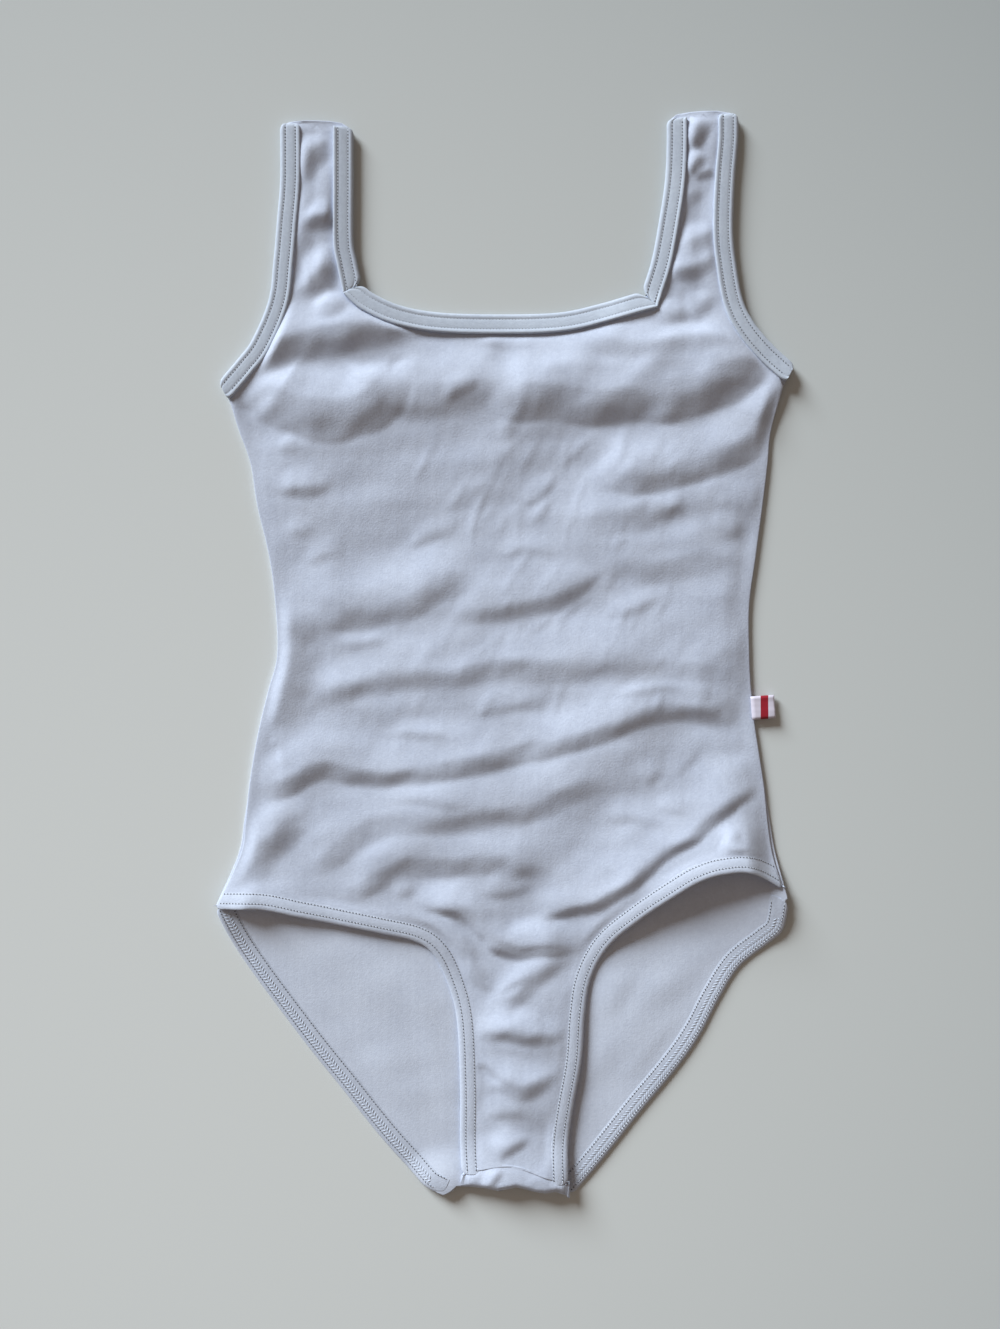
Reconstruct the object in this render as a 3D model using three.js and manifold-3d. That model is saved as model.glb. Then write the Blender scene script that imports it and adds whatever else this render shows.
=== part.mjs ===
// A tank leotard in brushed stretch knit, lying flat on its back panel.
// Millimetres. +X is to the right, +Y runs from the crotch to the straps, +Z points up.
// The lower panel is the back, and the front lies on it with the folds of a garment put down by hand.
import * as THREE from 'three';
import { mergeVertices } from 'three/addons/utils/BufferGeometryUtils.js';
import Module from 'manifold-3d';

const wasm = await Module();
wasm.setup();

// Driving sizes
const clothThickness = 1.3;
const seamGap = 0.3;
const cutGap = 0.2;
const bindingWidth = 12;
const bindingFold = 3;
const bindingHeight = clothThickness + seamGap + 1.0;
const frontHemWidth = 9;
const frontHemHeight = 2.2;
const backHemWidth = 11;
const backHemFold = 1.5;
const gussetFold = 2;
const tagLength = 14;
const tagReach = 12.5;
const tagThickness = 0.9;
const tagSlot = 0.7;
const tagTop = -25;
const tagUnderside = 1.2;

// Heights that the front's underside takes where it lies on one back layer, or on a bound back edge
const overPanel = clothThickness + seamGap;
const overBinding = bindingHeight + seamGap;
const overFloor = 0.3;

// Mesh fineness: folds run mostly across the body, so cells are long across and short along it
const cellAcross = 18;
const cellAlong = 8.25;
const edgeStep = 8.5;

// Half sizes of the sheet of height points that the front is cut from
const sheetHalfWidth = 180;
const sheetHalfLength = 330;

// Body sections from the underarms down to the hips.
// left and right are the front's edges; behindLeft and behindRight say how far the back shows past them.
const bodySections = [
  { y: 135, left: -160, right: 160, behindLeft: 0, behindRight: 0 },
  { y: 115, left: -153, right: 158, behindLeft: 0, behindRight: 0 },
  { y: 90, left: -149, right: 155, behindLeft: 0, behindRight: 0 },
  { y: 60, left: -142, right: 151, behindLeft: 0, behindRight: 0 },
  { y: 30, left: -138, right: 147, behindLeft: 0, behindRight: 0 },
  { y: 0, left: -137, right: 147, behindLeft: 0, behindRight: 0 },
  { y: -20, left: -142, right: 148, behindLeft: 0, behindRight: 0 },
  { y: -40, left: -147, right: 150, behindLeft: 0, behindRight: 0 },
  { y: -60, left: -151, right: 153, behindLeft: 0, behindRight: 0 },
  { y: -80, left: -154, right: 156, behindLeft: 0, behindRight: 1 },
  { y: -100, left: -156, right: 158, behindLeft: 2, behindRight: 3 },
  { y: -120, left: -159, right: 161, behindLeft: 3, behindRight: 3 },
];

// Finished edges, each running with the cloth on its left hand
const underarmLeft = [-165, 151];
const underarmRight = [167, 161];
const hipLeft = [-174, -152];
const hipRightFront = [166, -140];
const hipRightBack = [171, -153];
const armholeLeft = [
  [-135, 319], [-135, 285], [-137, 260], [-139, 237], [-142, 213], [-152, 189], [-161, 177], [-172, 164],
];
const armholeRight = [
  [174, 174], [161, 186], [150, 199], [143, 213], [139, 234], [137, 255], [138, 285], [140, 309], [140, 325],
];
const neckRight = [[97, 322], [97, 305], [96, 285], [93, 264], [88, 237], [82, 218]];
const neckFront = [[82, 218], [57, 211], [33, 206], [-3, 205], [-39, 206], [-63, 210], [-79, 217], [-86, 223]];
const neckLeft = [[-86, 223], [-89, 237], [-91, 250], [-91, 285], [-91, 317]];
const neckBack = [
  [98, 322], [98, 285], [94, 250], [90, 215], [73, 182], [40, 161], [0, 155],
  [-40, 162], [-70, 183], [-87, 215], [-92, 250], [-92, 317],
];
const legFrontLeft = [
  hipLeft, [-147, -152], [-123, -157], [-99, -162], [-75, -167], [-54, -172], [-43, -180],
  [-35, -196], [-29, -219], [-27, -259], [-27, -291], [-26, -311],
];
const legFrontRight = [
  [38, -315], [38, -294], [41, -271], [46, -243], [48, -216], [52, -194], [63, -174],
  [81, -158], [105, -141], [117, -134], [130, -130], [147, -130], hipRightFront,
];
const legBackLeft = [hipLeft, [-159, -181], [-123, -230], [-99, -260], [-75, -290], [-54, -314], [-37, -324]];
const legBackRight = [
  [40, -325], [57, -306], [81, -276], [105, -247], [118, -228], [129, -207],
  [141, -188], [158, -173], hipRightBack,
];
const crotchSeam = [[-26, -311], [-15, -308], [3, -305], [18, -310], [38, -315]];
const crotchTip = [[-37, -324], [-33, -322]];
const crotchFold = [[-29, -319], [-15, -320], [6, -319], [28, -322], [40, -325]];

// Broad rises of the front over the back, and the dip of its neckline to the floor
const swells = [
  { name: 'left chest', x: -90, y: 115, reachX: 75, reachY: 75, height: 2.2 },
  { name: 'right chest', x: 95, y: 110, reachX: 75, reachY: 75, height: 2.4 },
  { name: 'waist', x: 0, y: 5, reachX: 150, reachY: 110, height: 1.8 },
  { name: 'belly', x: 0, y: -100, reachX: 140, reachY: 90, height: 2.6 },
  { name: 'left leg arch', x: -118, y: -158, reachX: 76, reachY: 48, height: 11 },
  { name: 'right leg arch', x: 132, y: -128, reachX: 62, reachY: 50, height: 15 },
  { name: 'crotch', x: 8, y: -235, reachX: 45, reachY: 65, height: 2.4 },
  { name: 'neck dip', x: -3, y: 212, reachX: 85, reachY: 45, height: -1.3 },
];

// The largest folds. line runs along the middle of the fold's steep side with its gentle side on the left,
// above is the reach of its gentle upper side, and below the width of its steep side.
const folds = [
  {
    name: 'left chest', height: 3.2, above: 20, below: 11,
    line: [[-146, 171], [-117, 184], [-93, 190], [-48, 184]],
  },
  {
    name: 'left underarm', height: 4.2, above: 20, below: 14,
    line: [[-156, 150], [-129, 138], [-93, 141], [-60, 171]],
  },
  {
    name: 'mid chest', height: 2.6, above: 18, below: 16,
    line: [[-51, 159], [-27, 156], [-3, 154], [27, 159]],
  },
  {
    name: 'right chest', height: 4.8, above: 22, below: 15,
    line: [[33, 150], [57, 146], [87, 148], [117, 154], [156, 174]],
  },
  {
    name: 'right rib', height: 3.0, above: 18, below: 14,
    line: [[81, 108], [111, 113], [138, 116], [156, 142]],
  },
  { name: 'right rib soft', height: 1.5, above: 16, below: 14, line: [[45, 84], [81, 78], [105, 90]] },
  { name: 'right waist soft', height: 1.6, above: 16, below: 14, line: [[78, 51], [111, 50], [130, 57]] },
  {
    name: 'left waist upright', height: 2.4, above: 14, below: 26,
    line: [[-126, -21], [-120, 3], [-113, 20]],
  },
  {
    name: 'waist left', height: 2.4, above: 15, below: 10,
    line: [[-93, 21], [-75, 23], [-57, 28], [-27, 43]],
  },
  {
    name: 'waist right', height: 2.2, above: 15, below: 10,
    line: [[-24, 23], [-3, 26], [21, 31], [51, 43]],
  },
  { name: 'below waist left', height: 1.6, above: 13, below: 9, line: [[-93, -21], [-72, -14], [-52, -7]] },
  {
    name: 'below waist mid', height: 1.9, above: 13, below: 9,
    line: [[-33, -21], [-18, -15], [0, -17], [18, 0]],
  },
  {
    name: 'below waist right', height: 1.8, above: 16, below: 13,
    line: [[27, -12], [57, -10], [87, -4], [123, -8]],
  },
  {
    name: 'belly long', height: 4.0, above: 18, below: 10,
    line: [[-141, -82], [-117, -68], [-75, -74], [-27, -70], [9, -58], [69, -45], [123, -36]],
  },
  { name: 'belly short', height: 1.6, above: 14, below: 10, line: [[-3, -89], [39, -81], [60, -77]] },
  { name: 'left hip', height: 2.6, above: 14, below: 12, line: [[-154, -127], [-144, -117], [-112, -100]] },
  {
    name: 'low belly', height: 2.8, above: 16, below: 11,
    line: [[-111, -123], [-75, -112], [-33, -105], [27, -103]],
  },
  {
    name: 'above left leg', height: 3.2, above: 15, below: 12,
    line: [[-90, -150], [-75, -136], [-33, -128], [18, -126]],
  },
  {
    name: 'crotch top', height: 3.8, above: 16, below: 11,
    line: [[-39, -151], [-15, -162], [3, -176], [45, -180]],
  },
  {
    name: 'right hip', height: 4.4, above: 18, below: 9,
    line: [[33, -156], [69, -144], [87, -126], [117, -108], [135, -89], [152, -85]],
  },
  { name: 'crotch slant', height: 2.4, above: 13, below: 10, line: [[0, -216], [15, -198], [40, -182]] },
  { name: 'crotch middle', height: 2.2, above: 12, below: 10, line: [[-15, -228], [15, -233], [30, -230]] },
  { name: 'crotch low', height: 2.0, above: 12, below: 10, line: [[-15, -250], [9, -262], [24, -258]] },
];

// How far the folds die away from the edges, in millimetres
const foldFreeAtBinding = { from: bindingWidth, to: bindingWidth + 12 };
const foldFreeAtHem = { from: frontHemWidth, to: frontHemWidth + 9 };
const sideSeamRise = 18;
const backEdgeStep = { from: bindingWidth, to: bindingWidth + 18 };

const knitWhite = { color: 0xdfe2ec, roughness: 0.92, metalness: 0 };
const bindingWhite = { color: 0xd8dfe6, roughness: 0.8, metalness: 0 };
const ribbonWhite = { color: 0xeeeeee, roughness: 0.6, metalness: 0 };

// Numbers that blend
const clamp01 = (t) => Math.min(1, Math.max(0, t));
const ease = (t) => clamp01(t) ** 2 * (3 - 2 * clamp01(t));
const between = (value, range) => ease((value - range.from) / (range.to - range.from));

// A smooth run of points through an edge's few stations
function smoothEdge(stations) {
  const curve = new THREE.SplineCurve(stations.map(([x, y]) => new THREE.Vector2(x, y)));
  const count = Math.max(2, Math.round(curve.getLength() / edgeStep));
  return curve.getSpacedPoints(count).map((p) => [p.x, p.y]);
}

// Runs joined end to end, with the shared corners kept once
function joined(...runs) {
  const points = [];
  for (const [x, y] of runs.flat()) {
    const last = points.at(-1);
    if (!last || Math.hypot(x - last[0], y - last[1]) > 0.01) points.push([x, y]);
  }
  return points;
}

// Unit direction from one point to another
function direction(from, to) {
  const length = Math.hypot(to[0] - from[0], to[1] - from[1]);
  return [(to[0] - from[0]) / length, (to[1] - from[1]) / length];
}

// For each point of an edge, the mitred vector that points one millimetre into the cloth
function inwardVectors(points) {
  return points.map((point, i) => {
    const before = direction(points[Math.max(i - 1, 0)], points[Math.max(i, 1)]);
    const after = direction(points[Math.min(i, points.length - 2)], points[Math.min(i + 1, points.length - 1)]);
    const sum = [before[0] + after[0], before[1] + after[1]];
    const scale = 2 / (sum[0] ** 2 + sum[1] ** 2);
    return [-sum[1] * scale, sum[0] * scale];
  });
}

// An edge moved into the cloth, or out of it where the distance is negative
function movedIn(points, distance) {
  const inward = inwardVectors(points);
  return points.map(([x, y], i) => [x + inward[i][0] * distance, y + inward[i][1] * distance]);
}

// An edge carried straight on past its ends
function carriedOn(points, atStart, atEnd) {
  const first = direction(points[1], points[0]);
  const last = direction(points.at(-2), points.at(-1));
  const [start, end] = [points[0], points.at(-1)];
  return joined(
    [[start[0] + first[0] * atStart, start[1] + first[1] * atStart]],
    points,
    [[end[0] + last[0] * atEnd, end[1] + last[1] * atEnd]],
  );
}

// The nearest place on a line: its distance, the side it lies on (left is positive) and how far along it is
function nearestOn(points, x, y) {
  let best = { distance: Infinity, side: 1, along: 0 };
  for (let i = 0; i < points.length - 1; i += 1) {
    const [ax, ay] = points[i];
    const [dx, dy] = [points[i + 1][0] - ax, points[i + 1][1] - ay];
    const t = clamp01(((x - ax) * dx + (y - ay) * dy) / (dx * dx + dy * dy));
    const distance = Math.hypot(x - ax - dx * t, y - ay - dy * t);
    if (distance < best.distance) {
      const side = Math.sign(dx * (y - ay) - dy * (x - ax)) || 1;
      best = { distance, side, along: (i + t) / (points.length - 1) };
    }
  }
  return best;
}

const distanceToAny = (lines, x, y) => Math.min(...lines.map((line) => nearestOn(line, x, y).distance));

// The finished edges as smooth runs
const sideLeft = smoothEdge([underarmLeft, ...bodySections.map((s) => [s.left, s.y]), hipLeft]);
const sideRight = smoothEdge([hipRightFront, ...bodySections.map((s) => [s.right, s.y]).reverse(), underarmRight]);
const backSideLeft = smoothEdge([underarmLeft, ...bodySections.map((s) => [s.left - s.behindLeft, s.y]), hipLeft]);
const backSideRight = smoothEdge([
  hipRightBack,
  ...bodySections.map((s) => [s.right + s.behindRight, s.y]).reverse(),
  underarmRight,
]);
const edges = {
  armholeLeft: smoothEdge(armholeLeft),
  armholeRight: smoothEdge(armholeRight),
  neckFront: joined(smoothEdge(neckRight), smoothEdge(neckFront), smoothEdge(neckLeft)),
  neckBack: smoothEdge(neckBack),
  legFrontLeft: smoothEdge(legFrontLeft),
  legFrontRight: smoothEdge(legFrontRight),
  legBackLeft: smoothEdge(legBackLeft),
  legBackRight: smoothEdge(legBackRight),
  crotchSeam: smoothEdge(crotchSeam),
  crotchFold: smoothEdge(crotchFold),
};

// Panel outlines. With grow, the bound and hemmed edges stand that far out and only the ends of bands are cut.
function frontOutline(grow) {
  return joined(
    movedIn(edges.armholeLeft, -grow), sideLeft,
    movedIn(edges.legFrontLeft, -grow), edges.crotchSeam,
    movedIn(edges.legFrontRight, -grow), sideRight,
    movedIn(edges.armholeRight, -grow), movedIn(edges.neckFront, -grow),
  );
}

function backOutline(grow) {
  return joined(
    movedIn(edges.armholeLeft, -grow), backSideLeft,
    movedIn(edges.legBackLeft, -grow), crotchTip, movedIn(edges.crotchFold, -grow),
    movedIn(edges.legBackRight, -grow), backSideRight,
    movedIn(edges.armholeRight, -grow), movedIn(edges.neckBack, -grow),
  );
}

// Height of one fold at a place: a ridge with a gentle upper side and a steep lower side, dying out at its ends
function foldHeight(fold, x, y) {
  const { distance, side, along } = nearestOn(fold.line, x, y);
  const up = distance * side - fold.below / 2;
  const reach = up > 0 ? fold.above : fold.below;
  return fold.height * ease(1 - Math.abs(up) / reach) * Math.sqrt(Math.sin(Math.PI * along));
}

// Height of one broad rise at a place
function swellHeight(swell, x, y) {
  const spread = ((x - swell.x) / swell.reachX) ** 2 + ((y - swell.y) / swell.reachY) ** 2;
  return swell.height * clamp01(1 - spread) ** 2;
}

const backBands = [edges.armholeLeft, edges.armholeRight, edges.neckBack, edges.legBackLeft, edges.legBackRight];
const frontBindings = [edges.armholeLeft, edges.armholeRight, edges.neckFront];
const frontHems = [edges.legFrontLeft, edges.legFrontRight];

// Height of the front's underside over the floor
function frontUnderside(x, y) {
  const overBand = 1 - between(distanceToAny(backBands, x, y), backEdgeStep);
  const level = overPanel + (overBinding - overPanel) * overBand;
  const rise = ease(distanceToAny([sideLeft, sideRight], x, y) / sideSeamRise);
  const foldRoom = between(distanceToAny(frontBindings, x, y), foldFreeAtBinding)
    * between(distanceToAny(frontHems, x, y), foldFreeAtHem);
  const swell = swells.reduce((sum, s) => sum + swellHeight(s, x, y), 0);
  const fold = folds.reduce((sum, f) => sum + foldHeight(f, x, y), 0);
  const backNeck = nearestOn(edges.neckBack, x, y);
  const overBareFloor = backNeck.side < 0 && backNeck.distance > bindingWidth && y < neckLeft[0][1];
  const lowest = overBareFloor ? overFloor : overPanel;
  return Math.max(lowest, level + rise * (swell + foldRoom * fold));
}

const backUnderside = () => 0;

// Solids for cutting and joining, and back to meshes
function toSolid(geometry) {
  const bare = geometry.clone();
  bare.deleteAttribute('normal');
  bare.deleteAttribute('uv');
  const merged = mergeVertices(bare, 1e-4);
  const vertProperties = new Float32Array(merged.attributes.position.array);
  const triVerts = new Uint32Array(merged.index.array);
  return new wasm.Manifold(new wasm.Mesh({ numProp: 3, vertProperties, triVerts }));
}

function toGeometry(solid) {
  const mesh = solid.getMesh();
  const geometry = new THREE.BufferGeometry();
  geometry.setAttribute('position', new THREE.Float32BufferAttribute(mesh.vertProperties, 3));
  geometry.setIndex(new THREE.BufferAttribute(mesh.triVerts, 1));
  geometry.computeVertexNormals();
  return geometry;
}

function indexedGeometry(positions, triangles) {
  const geometry = new THREE.BufferGeometry();
  geometry.setAttribute('position', new THREE.Float32BufferAttribute(positions.flat(), 3));
  geometry.setIndex(triangles.flat());
  return geometry;
}

// A flat outline raised between two heights
function prism(outline, low, high) {
  const shape = new THREE.Shape(outline.map(([x, y]) => new THREE.Vector2(x, y)));
  const geometry = new THREE.ExtrudeGeometry(shape, { depth: high - low, bevelEnabled: false });
  return toSolid(geometry.translate(0, 0, low));
}

// A sheet of cloth over the whole plan: rows and columns of points at the given underside, one wall thick
function sheet(underside, thickness) {
  const columns = Math.round((2 * sheetHalfWidth) / cellAcross);
  const rows = Math.round((2 * sheetHalfLength) / cellAlong);
  const positions = [];
  for (const lift of [0, thickness]) {
    for (let j = 0; j <= rows; j += 1) {
      for (let i = 0; i <= columns; i += 1) {
        const x = -sheetHalfWidth + (2 * sheetHalfWidth * i) / columns;
        const y = -sheetHalfLength + (2 * sheetHalfLength * j) / rows;
        positions.push([x, y, underside(x, y) + lift]);
      }
    }
  }
  const layer = (rows + 1) * (columns + 1);
  const at = (i, j) => j * (columns + 1) + i;
  const triangles = [];
  for (let j = 0; j < rows; j += 1) {
    for (let i = 0; i < columns; i += 1) {
      const [a, b, c, d] = [at(i, j), at(i + 1, j), at(i + 1, j + 1), at(i, j + 1)];
      triangles.push([a, c, b], [a, d, c]);
      triangles.push([a + layer, b + layer, c + layer], [a + layer, c + layer, d + layer]);
    }
  }
  const rim = [];
  for (let i = 0; i < columns; i += 1) rim.push(at(i, 0));
  for (let j = 0; j < rows; j += 1) rim.push(at(columns, j));
  for (let i = columns; i > 0; i -= 1) rim.push(at(i, rows));
  for (let j = rows; j > 0; j -= 1) rim.push(at(0, j));
  rim.forEach((a, k) => {
    const b = rim[(k + 1) % rim.length];
    triangles.push([a, b, b + layer], [a, b + layer, a + layer]);
  });
  return toSolid(indexedGeometry(positions, triangles));
}

// A band along an edge, through one section at each of its points.
// profile lists { inward, over }: how far in from the edge, and how far over the cloth's underside there.
function band(points, underside, profile) {
  const inward = inwardVectors(points);
  const positions = [];
  points.forEach(([x, y], i) => {
    for (const corner of profile) {
      const px = x + inward[i][0] * corner.inward;
      const py = y + inward[i][1] * corner.inward;
      positions.push([px, py, underside(px, py) + corner.over]);
    }
  });
  const size = profile.length;
  const triangles = [];
  for (let i = 0; i < points.length - 1; i += 1) {
    for (let k = 0; k < size; k += 1) {
      const next = (k + 1) % size;
      const [a, b, c, d] = [i * size + k, i * size + next, (i + 1) * size + next, (i + 1) * size + k];
      triangles.push([a, b, c], [a, c, d]);
    }
  }
  const contour = profile.map((corner) => new THREE.Vector2(corner.inward, corner.over));
  const lastRing = (points.length - 1) * size;
  for (const [a, b, c] of THREE.ShapeUtils.triangulateShape(contour, [])) {
    triangles.push([a, c, b], [a + lastRing, b + lastRing, c + lastRing]);
  }
  return toSolid(indexedGeometry(positions, triangles));
}

// The section of a strip folded over a raw edge: its fold runs the whole depth, and its upper layer laps the panel
function foldedProfile(width, foldWidth) {
  const lapUnder = clothThickness + seamGap;
  return [
    { inward: 0, over: 0 },
    { inward: foldWidth, over: 0 },
    { inward: foldWidth, over: lapUnder },
    { inward: width, over: lapUnder },
    { inward: width, over: bindingHeight - 0.3 },
    { inward: width - 0.6, over: bindingHeight },
    { inward: 1, over: bindingHeight },
    { inward: 0, over: bindingHeight - 0.9 },
  ];
}

// The section of a hem turned under: two layers, rounded at the fold
const turnedProfile = [
  { inward: 0.4, over: 0 },
  { inward: frontHemWidth, over: 0 },
  { inward: frontHemWidth, over: frontHemHeight - 0.4 },
  { inward: frontHemWidth - 0.8, over: frontHemHeight },
  { inward: 1.2, over: frontHemHeight },
  { inward: 0, over: frontHemHeight / 2 },
];

// Room that a panel leaves for a strip folded over it
function lapRoom(width, foldWidth) {
  const lapUnder = clothThickness + seamGap - cutGap;
  return [
    { inward: -4, over: -5 },
    { inward: foldWidth + seamGap, over: -5 },
    { inward: foldWidth + seamGap, over: lapUnder },
    { inward: width + seamGap, over: lapUnder },
    { inward: width + seamGap, over: 20 },
    { inward: -4, over: 20 },
  ];
}

// Room of a plain rectangle, from past the edge to a width inside it
function plainRoom(width, low, high) {
  return [
    { inward: -4, over: low },
    { inward: width, over: low },
    { inward: width, over: high },
    { inward: -4, over: high },
  ];
}

const pastEnds = 8;
const trimGrow = 2.5;
const tall = 60;
const frontTrim = prism(frontOutline(trimGrow), -tall, tall);
const backTrim = prism(backOutline(trimGrow), -tall, tall);
const long = (edge) => carriedOn(edge, pastEnds, pastEnds);

// The gusset end of the back, turned up over the fold at the crotch: a lap on the back and the fold's own depth
const gussetRoomRun = carriedOn(edges.crotchFold, 0, pastEnds);
const gussetRoom = band(gussetRoomRun, backUnderside, plainRoom(gussetFold + seamGap, -5, 20));

function makeGusset(frontSheet) {
  const lapOutline = joined(edges.crotchFold, movedIn(edges.crotchSeam, -seamGap).reverse());
  const lap = frontSheet.intersect(prism(lapOutline, -1, 20));
  const wallProfile = [
    { inward: 0.3, over: 0 },
    { inward: gussetFold, over: 0 },
    { inward: gussetFold, over: overPanel + 1 },
    { inward: 1, over: overPanel + 1 },
    { inward: 0, over: overPanel / 2 },
  ];
  const wall = band(edges.crotchFold, backUnderside, wallProfile);
  return lap.add(wall);
}

// Panels
function makeBackPanel() {
  const foldedEdges = [
    { edge: edges.armholeLeft, width: bindingWidth, fold: bindingFold },
    { edge: edges.armholeRight, width: bindingWidth, fold: bindingFold },
    { edge: edges.neckBack, width: bindingWidth, fold: bindingFold },
    { edge: edges.legBackLeft, width: backHemWidth, fold: backHemFold },
    { edge: edges.legBackRight, width: backHemWidth, fold: backHemFold },
  ];
  let panel = prism(backOutline(0), 0, clothThickness);
  for (const { edge, width, fold } of foldedEdges) {
    panel = panel.subtract(band(long(edge), backUnderside, lapRoom(width, fold)));
  }
  return panel.subtract(gussetRoom);
}

function makeFrontPanel(frontSheet) {
  let panel = frontSheet.intersect(prism(frontOutline(0), -1, tall));
  for (const edge of frontBindings) {
    panel = panel.subtract(band(long(edge), frontUnderside, lapRoom(bindingWidth, bindingFold)));
  }
  for (const edge of frontHems) {
    panel = panel.subtract(band(long(edge), frontUnderside, plainRoom(frontHemWidth + seamGap, -20, 40)));
  }
  for (const edge of backBands) {
    const low = plainRoom(bindingWidth + seamGap, -5, bindingHeight + cutGap);
    panel = panel.subtract(band(long(edge), backUnderside, low));
  }
  return panel;
}

// Bands, cut off where they reach the side seams, the strap ends and the crotch
const bindingProfile = foldedProfile(bindingWidth, bindingFold);
const frontBinding = (edge) => band(long(edge), frontUnderside, bindingProfile).intersect(frontTrim);
const backBinding = (edge) => band(long(edge), backUnderside, bindingProfile).intersect(backTrim);
const frontHem = (edge) => band(long(edge), frontUnderside, turnedProfile).intersect(frontTrim);
const hemProfile = foldedProfile(backHemWidth, backHemFold);
const backHemRuns = {
  left: carriedOn(edges.legBackLeft, pastEnds, 0),
  right: long(edges.legBackRight),
};
const backHem = (run) => band(run, backUnderside, hemProfile).intersect(backTrim).subtract(gussetRoom);

// The tag: a ribbon folded into a loop, sewn into the right side seam
function makeTag() {
  const seamEdge = sideRight.filter(([, y]) => y < tagTop && y > tagTop - tagLength).map(([x]) => x);
  const inner = Math.max(...seamEdge) + 1;
  const height = 2 * tagThickness + tagSlot;
  const outer = inner + tagReach;
  const loop = new THREE.Shape();
  loop.moveTo(inner, 0);
  loop.lineTo(outer - height / 2, 0);
  loop.absarc(outer - height / 2, height / 2, height / 2, -Math.PI / 2, Math.PI / 2, false);
  loop.lineTo(inner, height);
  loop.lineTo(inner, height - tagThickness);
  loop.lineTo(outer - height / 2, height - tagThickness);
  loop.lineTo(outer - height / 2, tagThickness);
  loop.lineTo(inner, tagThickness);
  loop.closePath();
  const ribbon = new THREE.ExtrudeGeometry(loop, { depth: tagLength, bevelEnabled: false, curveSegments: 6 });
  return ribbon.rotateX(Math.PI / 2).translate(0, tagTop, tagUnderside);
}

// The garment
const leotard = new THREE.Group();

function addPiece(name, geometry, finish) {
  const mesh = new THREE.Mesh(geometry, new THREE.MeshStandardMaterial(finish));
  mesh.name = name;
  leotard.add(mesh);
}

const frontSheet = sheet(frontUnderside, clothThickness);
addPiece('back_panel', toGeometry(makeBackPanel()), knitWhite);
addPiece('front_panel', toGeometry(makeFrontPanel(frontSheet)), knitWhite);
addPiece('gusset_turn', toGeometry(makeGusset(frontSheet)), knitWhite);
addPiece('neck_binding_front', toGeometry(frontBinding(edges.neckFront)), bindingWhite);
addPiece('neck_binding_back', toGeometry(backBinding(edges.neckBack)), bindingWhite);
addPiece('armhole_binding_left_front', toGeometry(frontBinding(edges.armholeLeft)), bindingWhite);
addPiece('armhole_binding_left_back', toGeometry(backBinding(edges.armholeLeft)), bindingWhite);
addPiece('armhole_binding_right_front', toGeometry(frontBinding(edges.armholeRight)), bindingWhite);
addPiece('armhole_binding_right_back', toGeometry(backBinding(edges.armholeRight)), bindingWhite);
addPiece('leg_hem_left_front', toGeometry(frontHem(edges.legFrontLeft)), knitWhite);
addPiece('leg_hem_left_back', toGeometry(backHem(backHemRuns.left)), knitWhite);
addPiece('leg_hem_right_front', toGeometry(frontHem(edges.legFrontRight)), knitWhite);
addPiece('leg_hem_right_back', toGeometry(backHem(backHemRuns.right)), knitWhite);
addPiece('side_tag', makeTag(), ribbonWhite);

// The origin is under the middle of the garment's box, on the surface it lies on
const boxCentre = new THREE.Box3().setFromObject(leotard).getCenter(new THREE.Vector3());
leotard.position.set(-boxCentre.x, -boxCentre.y, 0);

export default leotard;
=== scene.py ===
# %% [markdown]
# # A tank leotard laid flat
# The object is a ballet leotard in white brushed stretch knit. It lies face up on a pale surface,
# put down by hand, and the picture looks straight down on it.
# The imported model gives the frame: where each panel, binding and hem lies, in metres, with +Z up.
# This lesson dresses that frame. It makes fine cloth in the same places, sews on the bindings and
# hems with real stitches, and gives each cloth the finish of the real one.

# %% Load the frame
import math
from collections import namedtuple

import bpy
import numpy as np
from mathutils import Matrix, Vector
from mathutils.geometry import delaunay_2d_cdt


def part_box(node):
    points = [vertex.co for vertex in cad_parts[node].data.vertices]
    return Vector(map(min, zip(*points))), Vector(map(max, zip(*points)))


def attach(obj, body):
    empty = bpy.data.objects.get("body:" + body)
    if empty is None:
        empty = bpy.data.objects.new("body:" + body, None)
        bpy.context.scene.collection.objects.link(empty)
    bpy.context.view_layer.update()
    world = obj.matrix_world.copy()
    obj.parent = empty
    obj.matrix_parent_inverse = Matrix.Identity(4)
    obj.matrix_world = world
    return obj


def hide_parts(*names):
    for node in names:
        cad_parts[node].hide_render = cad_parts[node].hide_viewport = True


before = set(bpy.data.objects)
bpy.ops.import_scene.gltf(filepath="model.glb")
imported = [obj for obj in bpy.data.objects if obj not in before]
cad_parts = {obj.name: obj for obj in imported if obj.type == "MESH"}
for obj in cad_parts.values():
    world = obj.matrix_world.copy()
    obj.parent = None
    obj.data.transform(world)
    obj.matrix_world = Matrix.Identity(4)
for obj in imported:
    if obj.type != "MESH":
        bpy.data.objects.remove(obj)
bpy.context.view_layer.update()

MM = 0.001
PANEL_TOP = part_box("back_panel")[1].z / MM
BOUND_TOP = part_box("neck_binding_back")[1].z / MM
print("back panel is", round(PANEL_TOP, 2), "mm thick, and its bindings", round(BOUND_TOP, 2), "mm")

# %% [markdown]
# ## Colours and nodes
# Colours are written as the sRGB hex values that a picker shows. The renderer works in linear light,
# so one function turns them over. One more small function adds a shader node, sets it and links it.

# %% Colour and node helpers
def linear(hex_colour):
    """The linear colour of an sRGB hex value, opaque."""
    parts = [int(hex_colour[i:i + 2], 16) / 255 for i in (1, 3, 5)]
    return tuple(p / 12.92 if p <= 0.04045 else ((p + 0.055) / 1.055) ** 2.4 for p in parts) + (1.0,)


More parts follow.
